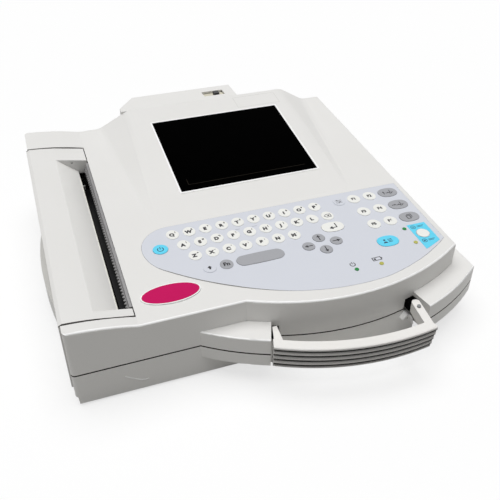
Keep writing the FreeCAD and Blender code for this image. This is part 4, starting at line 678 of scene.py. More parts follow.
def top_face(points: list[Vector], up: Vector) -> Face:
    """Find the flat top of a solid.

    Args:
        points: the solid's corners.
        up: the way its top looks.

    Returns:
        The face, with its origin at the middle of the top.
    """
    height = max(point.dot(up) for point in points)
    top = [point for point in points if point.dot(up) > height - LEVEL_MM * MM]
    low = Vector([min(point[axis] for point in top) for axis in range(3)])
    high = Vector([max(point[axis] for point in top) for axis in range(3)])
    across = (ACROSS - up * ACROSS.dot(up)).normalized()
    return Face((low + high) / 2, across, up.cross(across), up)


def add_piece(name: str, mesh: bmesh.types.BMesh, finish: Finish, body: str) -> bpy.types.Object:
    """Make an object of a mesh and let it ride a body.

    Args:
        name: the piece's name.
        mesh: its mesh, in metres in the frame, which is freed.
        finish: its finish.
        body: the body of the frame that carries it.

    Returns:
        The piece.
    """
    bmesh.ops.recalc_face_normals(mesh, faces=mesh.faces)
    data = bpy.data.meshes.new(name)
    mesh.to_mesh(data)
    mesh.free()
    piece = bpy.data.objects.new(name, data)
    bpy.context.scene.collection.objects.link(piece)
    data.materials.append(finish.material())
    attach(piece, body)
    LOG.info("piece %s: %d faces, rides %s", name, len(data.polygons), body)
    return piece


def dress(finish: Finish, *nodes: str) -> None:
    """Give frame nodes their finish.

    Args:
        finish: the finish.
        nodes: the nodes' names.
    """
    for node in nodes:
        data = frame["nodes"][node].data
        data.materials.clear()
        data.materials.append(finish.material())
        LOG.info("node %s: %s", node, finish.name)


def dress_faces(finish: Finish, node: str,
                chosen: Callable[[bpy.types.MeshPolygon, Vector], bool]) -> None:
    """Give some faces of a frame node another finish.

    Args:
        finish: the finish.
        node: the node's name.
        chosen: tells from a face and its middle, in machine millimetres, whether it takes the finish.
    """
    data = frame["nodes"][node].data
    data.materials.append(finish.material())
    index = len(data.materials) - 1
    count = 0
    for polygon in data.polygons:
        if chosen(polygon, polygon.center / MM + ORIGIN_MM):
            polygon.material_index = index
            count += 1
    LOG.info("node %s: %s on %d faces", node, finish.name, count)


class Relief:
    """Flat figures raised from a face as thin closed slabs, such as the ink of a legend."""

    def __init__(self, face: Face, height_mm: float = 0.03, sunk_mm: float = 0.01) -> None:
        """Start an empty relief.

        Args:
            face: the face that carries it; figures are given in millimetres from its origin.
            height_mm: how far the slabs stand above the face.
            sunk_mm: how far they reach into it, so that no light shows under them.
        """
        self.face = face
        self.height_mm = height_mm
        self.sunk_mm = sunk_mm
        self.mesh = bmesh.new()

    def slab(self, outline: list[Point], bridge: list[Point] | None = None) -> None:
        """Raise a closed outline, or the band between two outlines of as many points.

        Args:
            outline: its corners, in order.
            bridge: the inner corners of a band.
        """
        rings = [outline] if bridge is None else [outline, bridge]
        tops, feet = ([[self.mesh.verts.new(self.face.point(x, y, level)) for x, y in ring] for ring in rings]
                      for level in (self.height_mm, -self.sunk_mm))
        count = len(outline)
        for top, foot in zip(tops, feet):
            for index in range(count):
                after = (index + 1) % count
                self.mesh.faces.new((foot[index], foot[after], top[after], top[index]))
        if bridge is None:
            self.mesh.faces.new(tops[0])
            self.mesh.faces.new(feet[0][::-1])
            return
        for index in range(count):
            after = (index + 1) % count
            self.mesh.faces.new((tops[0][index], tops[0][after], tops[1][after], tops[1][index]))
            self.mesh.faces.new((feet[0][after], feet[0][index], feet[1][index], feet[1][after]))

    def line(self, points: list[Point], width: float, closed: bool = False) -> None:
        """Draw a line of one width with mitred corners.

        Args:
            points: its corners.
            width: its width.
            closed: whether it runs back to its start.
        """
        count = len(points)
        left: list[Point] = []
        right: list[Point] = []
        for index in range(count):
            here = Vector(points[index])
            before = Vector(points[index - 1]) if index or closed else None
            after = Vector(points[(index + 1) % count]) if index < count - 1 or closed else None
            into = (here - before).normalized() if before is not None else (after - here).normalized()
            out = (after - here).normalized() if after is not None else into
            aside = Vector((-into.y - out.y, into.x + out.x)).normalized()
            reach = width / 2 / max(LEAST_MITRE, aside.dot(Vector((-into.y, into.x))))
            left.append(tuple(here + aside * reach))
            right.append(tuple(here - aside * reach))
        if closed:
            self.slab(left, right)
        else:
            self.slab(left + right[::-1])

    def disc(self, middle: Point, radius: float, count: int = 24) -> None:
        """Draw a filled disc."""
        self.slab(arc(middle, radius, 0.0, 360.0, count))

    def ring(self, middle: Point, radius: float, width: float, count: int = 28) -> None:
        """Draw a ring."""
        self.line(arc(middle, radius, 0.0, 360.0, count), width, closed=True)

    def text(self, words: str, height: float, middle: Point, weight: float = 0.03) -> None:
        """Write a generic legend in the built-in letters.

        Args:
            words: the letters or figures.
            height: their size, in millimetres from foot to top with room for tails.
            middle: where their middle lies.
            weight: how much bolder than plain the strokes are, as a share of the size.
        """
        curve = bpy.data.curves.new("legend", "FONT")
        curve.body = words
        curve.size = height
        curve.align_x = "CENTER"
        curve.align_y = "CENTER"
        curve.offset = weight * height
        curve.extrude = (self.height_mm + self.sunk_mm) / 2
        writer = bpy.data.objects.new("legend", curve)
        bpy.context.scene.collection.objects.link(writer)
        bpy.context.view_layer.update()
        graph = bpy.context.evaluated_depsgraph_get()
        data = bpy.data.meshes.new_from_object(writer.evaluated_get(graph))
        lift = (self.height_mm - self.sunk_mm) / 2
        data.transform(self.face.matrix() @ Matrix.Translation((middle[0], middle[1], lift)))
        self.mesh.from_mesh(data)
        bpy.data.meshes.remove(data)
        bpy.data.objects.remove(writer)
        bpy.data.curves.remove(curve)

    def piece(self, name: str, finish: Finish, body: str, slot: str) -> bpy.types.Object:
        """Close the relief and return it as a piece that rides a body."""
        bmesh.ops.remove_doubles(self.mesh, verts=self.mesh.verts, dist=WELD_MM / 2 * MM)
        return add_piece(name, self.mesh, finish, body)


def arc(middle: Point, radius: float, start: float, end: float, count: int) -> list[Point]:
    """Return points on an arc.

    Args:
        middle: its centre.
        radius: its radius.
        start: its first angle, in degrees from +X.
        end: its last angle; a whole turn leaves out the point that would repeat.
        count: how many points.

    Returns:
        The points in order.
    """
    whole = abs(end - start) >= 360.0
    step = math.radians(end - start) / (count if whole else count - 1)
    angles = [math.radians(start) + step * index for index in range(count)]
    return [(middle[0] + radius * math.cos(angle), middle[1] + radius * math.sin(angle))
            for angle in angles]


def oval(width: float, depth: float, count: int = 72) -> list[Point]:
    """Return points on an ellipse about the origin.

    Args:
        width: its size across.
        depth: its size along.
        count: how many points.

    Returns:
        The points in order.
    """
    return [(x * width / 2, y * depth / 2) for x, y in arc((0.0, 0.0), 1.0, 0.0, 360.0, count)]


class Pictogram:
    """Generic signs drawn on a relief, each about a given size in millimetres."""

    def __init__(self, relief: Relief, middle: Point, size: float, width: float = 0.55) -> None:
        """Aim at a place on a relief.

        Args:
            relief: where to draw.
            middle: the sign's middle.
            size: its size.
            width: the width of its lines.
        """
        self.relief = relief
        self.middle = middle
        self.size = size
        self.width = width

    def at(self, *places: Point) -> list[Point]:
        """Return places given as shares of the sign's size from its middle."""
        return [(self.middle[0] + x * self.size, self.middle[1] + y * self.size) for x, y in places]

    def arrow(self, degrees: float) -> None:
        """Draw an arrow that points so many degrees round from +X."""
        turn = Matrix.Rotation(math.radians(degrees), 2)
        shaft = [tuple(turn @ Vector(place)) for place in ((-0.5, 0.0), (0.2, 0.0))]
        head = [tuple(turn @ Vector(place)) for place in ((0.5, 0.0), (0.1, 0.24), (0.1, -0.24))]
        self.relief.line(self.at(*shaft), self.width)
        self.relief.slab(self.at(*head))

    def return_arrow(self) -> None:
        """Draw the bent arrow of an enter key."""
        self.relief.line(self.at((0.35, 0.5), (0.35, -0.2), (-0.15, -0.2)), self.width)
        self.relief.slab(self.at((-0.5, -0.2), (-0.1, 0.08), (-0.1, -0.48)))

    def backspace(self) -> None:
        """Draw the pointed tablet with a cross of a backspace key."""
        self.relief.line(self.at((-0.5, 0.0), (-0.15, 0.32), (0.5, 0.32), (0.5, -0.32), (-0.15, -0.32)),
                         self.width * 0.8, closed=True)
        self.relief.line(self.at((-0.02, 0.15), (0.3, -0.15)), self.width * 0.8)
        self.relief.line(self.at((-0.02, -0.15), (0.3, 0.15)), self.width * 0.8)

    def power(self) -> None:
        """Draw the broken circle and bar of a power switch."""
        round_part = arc((0.0, 0.0), 0.42, 125.0, 415.0, 20)
        self.relief.line(self.at(*round_part), self.width)
        self.relief.line(self.at((0.0, 0.05), (0.0, 0.55)), self.width)

    def pulse(self) -> None:
        """Draw one beat of a heart trace."""
        self.relief.line(self.at((-0.6, -0.1), (-0.25, -0.1), (-0.15, 0.05), (-0.05, -0.1), (0.05, -0.35),
                                 (0.18, 0.55), (0.28, -0.3), (0.35, -0.1), (0.6, -0.1)), self.width)

    def battery(self) -> None:
        """Draw a nearly empty battery cell."""
        self.relief.line(self.at((-0.8, 0.35), (0.65, 0.35), (0.65, -0.35), (-0.8, -0.35)), self.width,
                         closed=True)
        self.relief.slab(self.at((0.7, 0.16), (0.88, 0.16), (0.88, -0.16), (0.7, -0.16)))
        self.relief.slab(self.at((-0.6, 0.17), (-0.25, 0.17), (-0.25, -0.17), (-0.6, -0.17)))

    def pages(self) -> None:
        """Draw two sheets, one over the other."""
        self.relief.line(self.at((-0.4, -0.45), (0.15, -0.45), (0.15, 0.25), (-0.4, 0.25)), self.width,
                         closed=True)
        self.relief.line(self.at((-0.2, 0.5), (0.42, 0.5), (0.42, -0.2)), self.width)

    def patient(self) -> None:
        """Draw a plain head and shoulders."""
        self.relief.disc(self.at((-0.45, 0.27))[0], self.size * 0.2)
        shoulders = arc((-0.45, -0.45), 0.36, 0.0, 180.0, 12)
        self.relief.slab(self.at(*shoulders))
        for height in (0.3, 0.0, -0.3):
            self.relief.line(self.at((0.12, height), (0.8, height)), self.width)

    def dial(self) -> None:
        """Draw a ring with a triangle in it, for a start."""
        self.relief.ring(self.middle, self.size * 0.5, self.width)
        self.relief.slab(self.at((-0.14, 0.24), (-0.14, -0.24), (0.26, 0.0)))

    def halt(self) -> None:
        """Draw a ring with a square in it, for a stop."""
        self.relief.ring(self.middle, self.size * 0.5, self.width)
        self.relief.slab(self.at((-0.2, 0.2), (0.2, 0.2), (0.2, -0.2), (-0.2, -0.2)))

    def sliders(self) -> None:
        """Draw three sliders, for settings."""
        for height, knob in ((0.36, -0.25), (0.0, 0.25), (-0.36, -0.05)):
            self.relief.line(self.at((-0.6, height), (0.6, height)), self.width * 0.7)
            self.relief.disc(self.at((knob, height))[0], self.size * 0.13, 12)

    def shift(self) -> None:
        """Draw the broad arrow of a shift key."""
        self.relief.slab(self.at((0.0, 0.55), (0.5, 0.0), (0.2, 0.0), (0.2, -0.5), (-0.2, -0.5), (-0.2, 0.0),
                                 (-0.5, 0.0)))


@dataclass
class Housing:
    """The covers, feet, screws and what they hold inside."""

    seam_mm: tuple[float, float] = (30.5, 31.8)
    cross_mm: float = 3.4
    cross_width_mm: float = 0.8
    cross_height_mm: float = 0.02
    arc_mm: tuple[Point, ...] = ((40.3, 18.2), (43.6, 15.7), (47.0, 13.5), (52.4, 10.1), (56.5, 9.2),
                                 (59.0, 9.5))
    arc_width_mm: float = 0.8
    arc_reach_mm: float = 0.3
    arc_sunk_mm: float = 0.2
    sill_mm: tuple[Point, ...] = ((279.0, 23.4), (281.4, 26.0), (283.4, 27.3), (285.8, 27.0), (287.6, 25.0),
                                  (289.0, 21.0), (290.4, 15.6))
    sill_along_mm: float = -15.2
    sill_reach_mm: float = 5.6
    sill_sunk_mm: float = 1.5
    sill_width_mm: float = 1.5
    plate_mm: tuple[float, float, float, float] = (234.0, 284.0, 168.6, 189.6)
    plate_width_mm: float = 0.35
    plate_sunk_mm: float = 0.05
    hump_mm: Point = (120.0, 73.947)
    edge_back_mm: float = 60.0
    edge_forward: float = 0.12
    edge_up: Point = (0.3, 0.985)
    pocket_foot_mm: float = 20.5
    pocket_near_mm: float = 0.1
    pocket_span_mm: tuple[float, float] = (-14.8, 114.2)
    pocket_front_mm: float = -150.0
    pocket_low_mm: float = 2.6
    pocket_wall_mm: float = 2.0
    pocket_past_mm: float = 7.0

    def build(self) -> None:
        """Dress the covers and their insides, then add the screws' crosses, the trim and the low wall."""
        dress(COVER_ABS, "top_cover", "base_cover")
        dress(FOOT_RUBBER, "rubber_feet")
        dress(SCREW_STEEL, "cover_screws", "chassis_screws")
        dress(SHEET_STEEL, "chassis_plate", "power_supply", "head_bracket")
        dress(BOARD_LAMINATE, "main_board")
        dress(BLACK_NYLON, "board_parts")
        dress(BATTERY_WRAP, "battery_pack")
        # painted shade: the seam's ledge and back wall take a near-black finish
        dress_faces(SEAM_SHADE, "base_cover", self.in_seam)
        # painted highlight: faces that roll from the deck or ledge to the front are white
        dress_faces(EDGE_HIGHLIGHT_ABS, "top_cover", self.on_front_edge)
        self.screw_crosses()
        self.front_trim()
        self.pocket_wall()
        self.nameplate()

    def in_seam(self, polygon: bpy.types.MeshPolygon, middle: Vector) -> bool:
        """Tell whether a face lines the seam: its ledge or its back wall."""
        low, high = self.seam_mm
        ledge = abs(middle.z - low) < LEVEL_MM and polygon.normal.z > LOOKS_UP
        wall = low + LEVEL_MM < middle.z < high - LEVEL_MM and abs(polygon.normal.z) < LOOKS_ASIDE
        return ledge or wall

    def on_front_edge(self, polygon: bpy.types.MeshPolygon, middle: Vector) -> bool:
        """Tell whether a face rolls over from the deck or the ledge to the front."""
        low, high = self.edge_up
        rolls = -polygon.normal.y > self.edge_forward and low < polygon.normal.z < high
        return rolls and middle.y < self.edge_back_mm

    def screw_crosses(self) -> None:
        """Mark the driver's cross on each cover screw under the machine."""
        half = self.cross_mm / 2
        arm = self.cross_width_mm / 2
        cross = [(half, -arm), (half, arm), (arm, arm), (arm, half), (-arm, half), (-arm, arm),
                 (-half, arm), (-half, -arm), (-arm, -arm), (-arm, -half), (arm, -half), (arm, -arm)]
        for number, points in enumerate(solids_of("cover_screws"), start=1):
            relief = Relief(top_face(points, -UP), self.cross_height_mm)
            relief.slab(cross)
            relief.piece(f"screw_cross_{number}", BLACK_NYLON, Body.HOUSING.value, "steel_screw")

    def front_trim(self) -> None:
        """Add the faint moulded arc low on the front, and the sill under the handle's right opening, both
        white as painted highlights.
        """
        front = Face(machine(0.0, 0.0, 0.0), ACROSS, UP, FORWARD)
        arc_line = Relief(front, self.arc_reach_mm, self.arc_sunk_mm)
        arc_line.line(list(self.arc_mm), self.arc_width_mm)
        arc_line.piece("front_arc", BEAD_HIGHLIGHT_ABS, Body.HOUSING.value, "housing_plastic")
        pocket = front.moved(machine(0.0, self.sill_along_mm, 0.0))
        sill = Relief(pocket, self.sill_reach_mm, self.sill_sunk_mm)
        sill.line(list(self.sill_mm), self.sill_width_mm)
        sill.piece("opening_sill", BEAD_HIGHLIGHT_ABS, Body.HOUSING.value, "housing_plastic")

    def pocket_wall(self) -> None:
        """Carry the wall behind the handle lower, and a little past both ends of the pocket."""
        first, last = self.pocket_span_mm
        corners = [[value / MM for value in point] for point in solids_of("base_cover")[0]]
        foot = sorted({(round(x, 3), round(-y, 3)) for x, y, z in corners
                       if abs(z - self.pocket_foot_mm) < self.pocket_near_mm
                       and y < self.pocket_front_mm and first < x < last})
        ends = [Vector(foot[0]) - Vector(foot[1]), Vector(foot[-1]) - Vector(foot[-2])]
        past = [tuple(Vector(end) + way.normalized() * self.pocket_past_mm)
                for end, way in zip((foot[0], foot[-1]), ends)]
        outer = [past[0], *foot, past[1]]
        inner = [(x, y - self.pocket_wall_mm) for x, y in outer]
        down = Face(UP * (self.pocket_foot_mm * MM), ACROSS, FORWARD, -UP)
        relief = Relief(down, self.pocket_foot_mm - self.pocket_low_mm, 0.0)
        relief.slab(outer + inner[::-1])
        relief.piece("pocket_wall", COVER_ABS, Body.HOUSING.value, "housing_plastic")

    def nameplate(self) -> None:
        """Outline the blank nameplate behind the display."""
        along = Vector((0.0, 1.0, HUMP_SLOPE)).normalized()
        hump = Face(machine(0.0, *self.hump_mm), ACROSS, along, ACROSS.cross(along))
        relief = Relief(hump, sunk_mm=self.plate_sunk_mm)
        left, right, near, far = self.plate_mm
        relief.line([(left, near), (right, near), (right, far), (left, far)], self.plate_width_mm,
                    closed=True)
        relief.piece("nameplate_outline", PLATE_LINE_INK, Body.HOUSING.value, "housing_plastic")


@dataclass
class Display:
    """The display window, its bead and the border printed behind it."""

    bead_width_mm: float = 1.9
    bead_height_mm: float = 0.35
    bead_sunk_mm: float = 0.3
    bead_gap_mm: float = 0.1
    border_inset_mm: float = 9.6
    border_width_mm: float = 0.7
    border_height_mm: float = 0.015
    border_turn_mm: float = 9.0

    def build(self) -> None:
        """Dress the window and module, and add the bead and the near edge of the border."""
        dress(WINDOW_ACRYLIC, "display_window", "lcd_module")
        up = facing("display_window", UP)
        points = solids_of("display_window")[0]
        face = top_face(points, up)
        half_width = max((point - face.origin).dot(face.across) for point in points) / MM
        half_depth = max((point - face.origin).dot(face.along) for point in points) / MM
        # painted highlight: the bead round the window is white
        bead = Relief(face, self.bead_height_mm, self.bead_sunk_mm)
        bead.line(self.frame(half_width, half_depth, self.bead_width_mm / 2 + self.bead_gap_mm),
                  self.bead_width_mm, closed=True)
        bead.piece("window_bead", BEAD_HIGHLIGHT_ABS, Body.HOUSING.value, "housing_plastic")
        border = Relief(face, self.border_height_mm)
        near_left, near_right, _, _ = self.frame(half_width, half_depth, -self.border_inset_mm)
        turn = (near_left[0], near_left[1] + self.border_turn_mm)
        border.line([turn, near_left, near_right], self.border_width_mm)
        border.piece("window_border", FAINT_INK, Body.HOUSING.value, "window_black")

    @staticmethod
    def frame(half_width: float, half_depth: float, grow: float) -> list[Point]:
        """Return the corners of a rectangle that much larger than the window."""
        across = half_width + grow
        along = half_depth + grow
        return [(-across, -along), (across, -along), (across, along), (-across, along)]


@dataclass(frozen=True)
class KeySign:
    """A sign on a key: what draws it, its size as a share of the usual one, and its lines' width."""

    draw: Callable[[Pictogram], None]
    share: float
    width: float
    middle: Point = (0.0, 0.0)


def pointing(degrees: float) -> Callable[[Pictogram], None]:
    """Return what draws an arrow that points so many degrees round from +X."""
    return lambda sign: sign.arrow(degrees)


# Each key that travels: its node, its ink, its slot in the record and its signs
MOVING_KEYS: tuple[tuple[str, PrintedInk, str, tuple[KeySign, ...]], ...] = (
    ("key_up", DARK_INK, "key_grey", (KeySign(pointing(90.0), 1.4, 0.95),)),
    ("key_down", DARK_INK, "key_grey", (KeySign(pointing(270.0), 1.4, 0.95),)),
    ("key_left", DARK_INK, "key_grey", (KeySign(pointing(180.0), 1.4, 0.95),)),
    ("key_right", DARK_INK, "key_grey", (KeySign(pointing(0.0), 1.4, 0.95),)),
    ("key_enter", DARK_INK, "key_white", (KeySign(Pictogram.return_arrow, 1.6, 0.95, (0.5, 0.2)),)),
    ("key_on", BLUE_INK, "key_blue", (KeySign(Pictogram.power, 1.15, 0.75, (0.0, -0.2)),)),
    ("key_patient", BLUE_INK, "key_blue", (KeySign(Pictogram.patient, 1.05, 0.7, (-0.4, 0.0)),)),
    ("key_gain", DARK_INK, "key_grey", (KeySign(Pictogram.pulse, 1.2, 0.8, (1.6, -0.3)),
                                        KeySign(pointing(90.0), 0.9, 0.8, (-4.2, 0.0)))),
    ("key_speed", DARK_INK, "key_grey", (KeySign(Pictogram.pulse, 1.2, 0.8, (1.6, -0.3)),
                                         KeySign(pointing(0.0), 0.85, 0.8, (-4.4, 0.0)))),
    ("key_filter", DARK_INK, "key_grey", (KeySign(Pictogram.pages, 1.15, 0.8),)),
)


@dataclass
class Keypad:
    """The film keypad: overlay, keys, lights, badge and every legend printed on them."""

    row_mm: float = 8.0
    letter_mm: float = 5.4
    letter_aside: Point = (-0.7, -0.5)
    letter_weight: float = 0.075
    mark_mm: float = 3.0
    mark_aside: Point = (2.9, 2.5)
    mark_weight: float = 0.05
    number_share: float = 1.6
    number_weight: float = 0.055
    alternate_share: float = 2.0
    rows: tuple[str, ...] = ("QWERTYUIOP", "ASDFGHJKL<", "ZXCVBNM")
    marks: tuple[str, ...] = ("1234567890", "!#%&/()= ", "+-*:;,.")
    sign_mm: float = 5.4
    small_share: float = 0.8
    backspace_share: float = 1.2
    backspace_width_mm: float = 0.8
    light_sign_mm: Point = (-0.5, 7.0)
    light_width_mm: float = 0.75
    start_along_mm: float = 10.2
    start_sign_mm: float = -4.2
    start_line_mm: float = -0.4
    start_length_mm: float = 6.0
    start_apart_mm: float = 0.7
    start_width_mm: float = 0.6
    gap_width_mm: float = 0.9
    gap_least_mm: float = 0.05
    gap_start: float = 0.25
    gap_swell: float = 4.0
    gap_taper: float = 2.2
    gap_height_mm: float = 0.02
    gap_sunk_mm: float = 0.3
    gap_top_mm: float = 18.0
    gap_right_mm: float = -20.0
    dashes: tuple[Point, ...] = ((166.4, 91.0), (182.7, 90.8))
    dash_half_mm: float = 2.2
    dash_width_mm: float = 0.8
    badge_mm: Point = (47.6, 21.0)
    badge_sunk_mm: float = 0.3
    badge_rim_mm: float = 1.0
    badge_rim_drop_mm: float = 0.1
    badge_rim_sunk_mm: float = 1.0

    def build(self) -> None:
        """Dress the films and print the legends."""
        dress(OVERLAY_FILM, "keypad_overlay")
        dress(BOARD_LAMINATE, "keypad_circuit")
        dress(WHITE_FILM, "letter_keys", "function_keys", "key_enter", "key_start")
        dress(GREY_FILM, "alternate_key", "key_space", "key_up", "key_down", "key_left", "key_right",
              "key_gain", "key_speed", "key_filter")
        dress(BLUE_FILM, "key_on", "key_patient", "start_panel")
        dress(OVERLAY_FILM, "shift_setup_keys")
        dress(GREEN_LENS, "lights_green")
        dress(YELLOW_LENS, "lights_yellow")
        dress(BADGE_RIM, "badge_rim")
        dress(BADGE_FIELD, "badge_field")
        self.up: Vector = facing("keypad_overlay", UP)
        self.print_letters()
        self.print_functions()
        self.print_moving_keys()
        self.print_labels()
        self.print_badge()
        self.edge_line()

    def faces(self, node: str) -> list[Face]:
        """Return the top face of each key of a node, far row first and left to right.

        Args:
            node: the node's name.

        Returns:
            Their faces in reading order.
        """
        tops = [top_face(points, self.up) for points in solids_of(node)]
        return sorted(tops, key=lambda top: (-round(top.origin.y / (self.row_mm * MM)), top.origin.x))

    def print_letters(self) -> None:
        """Print the letter keys, with the second sign of each at its upper right."""
        tops = self.faces("letter_keys")
        relief = Relief(tops[0])
        place = 0
        for row, signs in zip(self.rows, self.marks):
            for letter, sign in zip(row, signs.ljust(len(row))):
                relief.face = tops[place]
                place += 1
                if letter == "<":
                    Pictogram(relief, (0.0, 0.0), self.sign_mm * self.backspace_share,
                              self.backspace_width_mm).backspace()
                    continue
                relief.text(letter, self.letter_mm, self.letter_aside, self.letter_weight)
                if sign.strip():
                    relief.text(sign, self.mark_mm, self.mark_aside, self.mark_weight)
        relief.piece("letter_legends", DARK_INK, Body.HOUSING.value, "key_white")

    def print_functions(self) -> None:
        """Print plain numbers on the function keys and signs on the other fixed ones."""
        tops = self.faces("function_keys")
        relief = Relief(tops[0])
        for number, top in enumerate(tops, start=1):
            relief.face = top
            relief.text(f"F{number}", self.mark_mm * self.number_share, (0.0, 0.0), self.number_weight)
        shift, setup = sorted(self.faces("shift_setup_keys"), key=lambda top: top.origin.x)
        relief.face = shift
        Pictogram(relief, (0.0, 0.0), self.sign_mm * self.small_share).shift()
        relief.face = setup
        Pictogram(relief, (0.0, 0.0), self.sign_mm).sliders()
        relief.face = self.faces("alternate_key")[0]
        relief.text("Fn", self.mark_mm * self.alternate_share, (0.0, 0.0), self.mark_weight)
        relief.piece("function_legends", DARK_INK, Body.HOUSING.value, "key_white")

    def print_moving_keys(self) -> None:
        """Print the sign of each key that travels, on the body of its cap."""
        for key, ink, slot, signs in MOVING_KEYS:
            relief = Relief(self.faces(key)[0])
            for sign in signs:
                sign.draw(Pictogram(relief, sign.middle, self.sign_mm * sign.share, sign.width))
            relief.piece(f"{key}_legend", ink, f"{key}_cap", slot)

    def print_labels(self) -> None:
        """Print the signs beside the lights and on the start panel."""
        overlay = top_face(solids_of("keypad_overlay")[0], self.up)
        standby = min(self.faces("lights_green"), key=lambda top: top.origin.y)
        low_battery = min(self.faces("lights_yellow"), key=lambda top: top.origin.y)
        relief = Relief(overlay)
        for light, sign in ((standby, Pictogram.power), (low_battery, Pictogram.battery)):
            offset = light.origin - overlay.origin
            relief.face = overlay.moved(light.origin - overlay.up * offset.dot(overlay.up))
            sign(Pictogram(relief, self.light_sign_mm, self.sign_mm, self.light_width_mm))
        relief.piece("light_labels", DARK_INK, Body.HOUSING.value, "overlay_film")
        panel = top_face(solids_of("start_panel")[0], self.up)
        key = self.faces("key_start")[0]
        aside = key.origin - panel.origin
        middle = (aside.dot(panel.across) / MM, aside.dot(panel.along) / MM)
        relief = Relief(panel)
        for along, sign in ((self.start_along_mm, Pictogram.dial), (-self.start_along_mm, Pictogram.halt)):
            spot = (middle[0] + self.start_sign_mm, middle[1] + along)
            sign(Pictogram(relief, spot, self.sign_mm * self.small_share))
            for line in (self.start_apart_mm, -self.start_apart_mm):
                start = (middle[0] + self.start_line_mm, middle[1] + along + line)
                relief.line([start, (start[0] + self.start_length_mm + line, start[1])], self.start_width_mm)
        relief.piece("start_legends", BLUE_INK, Body.HOUSING.value, "key_blue")

    def print_badge(self) -> None:
        """Print the plain field of the badge out to its rim, and the white rim round it."""
        face = top_face(solids_of("badge_field")[0], self.up)
        width, depth = self.badge_mm
        rim = self.badge_rim_mm
        field = Relief(face, sunk_mm=self.badge_sunk_mm)
        field.slab(oval(width, depth))
        field.piece("badge_print", BADGE_FIELD, Body.HOUSING.value, "badge_magenta")
        edge = Relief(face, -self.badge_rim_drop_mm, self.badge_rim_sunk_mm)
        edge.slab(oval(width + rim * 2, depth + rim * 2), oval(width - rim, depth - rim))
        edge.piece("badge_edge", BADGE_RIM, Body.HOUSING.value, "badge_white")

    def edge_line(self) -> None:
        """Draw a painted shadow line along the overlay's near left edge, where its pocket's wall is in shade,
        and two faint dashes by the home keys.
        """
        overlay = top_face(solids_of("keypad_overlay")[0], self.up)
        relief = Relief(overlay, self.gap_height_mm, self.gap_sunk_mm)
        rim = self.rim(overlay)
        middle = Vector((sum(x for x, _ in rim), sum(y for _, y in rim))) / len(rim)
        near = [Vector(place) for place in rim
                if place[1] < middle.y + self.gap_top_mm and place[0] < self.gap_right_mm]
        inner = []
        for index, place in enumerate(near):
            share = index / (len(near) - 1)
            swell = min(1.0, self.gap_start + self.gap_swell * share)
            taper = min(1.0, self.gap_taper * (1.0 - share))
            width = self.gap_width_mm * swell * taper
            inner.append(place + (middle - place).normalized() * max(width, self.gap_least_mm))
        # painted shadow: a dark grey band inside the rim, thin at its ends
        relief.slab([tuple(place) for place in near] + [tuple(place) for place in inner[::-1]])
        relief.piece("overlay_gap_shadow", GAP_SHADOW_INK, Body.HOUSING.value, "overlay_film")
        dashes = Relief(overlay)
        for across, along in self.dashes:
            spot = machine(across, along, 0.0) - overlay.origin
            x, y = spot.x / MM, spot.y / MM
            dashes.line([(x - self.dash_half_mm, y), (x + self.dash_half_mm, y)], self.dash_width_mm)
        dashes.piece("home_dashes", PALE_INK, Body.HOUSING.value, "overlay_film")

    @staticmethod
    def rim(overlay: Face) -> list[Point]:
        """Return the corners round the overlay's top, from its upper left, in millimetres on the face."""
        mesh = bmesh.new()
        mesh.from_mesh(frame["nodes"]["keypad_overlay"].data)
        bmesh.ops.remove_doubles(mesh, verts=mesh.verts, dist=WELD_MM * MM)
        level = max(corner.co.dot(overlay.up) for corner in mesh.verts) - LEVEL_MM * MM
        flat = {corner for corner in mesh.verts if corner.co.dot(overlay.up) > level}
        start = min(flat, key=lambda corner: (corner.co.x, corner.co.y))
        ring = [start]
        walked = {start}
        while True:
            onward = [edge.other_vert(ring[-1]) for edge in ring[-1].link_edges if len(edge.link_faces) == 2
                      and edge.link_faces[0].normal.dot(edge.link_faces[1].normal) < SHARP_EDGE]
            onward = [corner for corner in onward if corner in flat and corner not in walked]
            if not onward:
                break
            lowest = min(onward, key=lambda corner: corner.co.y) if ring[-1] is start else onward[0]
            ring.append(lowest)
            walked.add(lowest)
        aside = [corner.co - overlay.origin for corner in ring]
        places = [(spot.dot(overlay.across) / MM, spot.dot(overlay.along) / MM) for spot in aside]
        mesh.free()
        return places


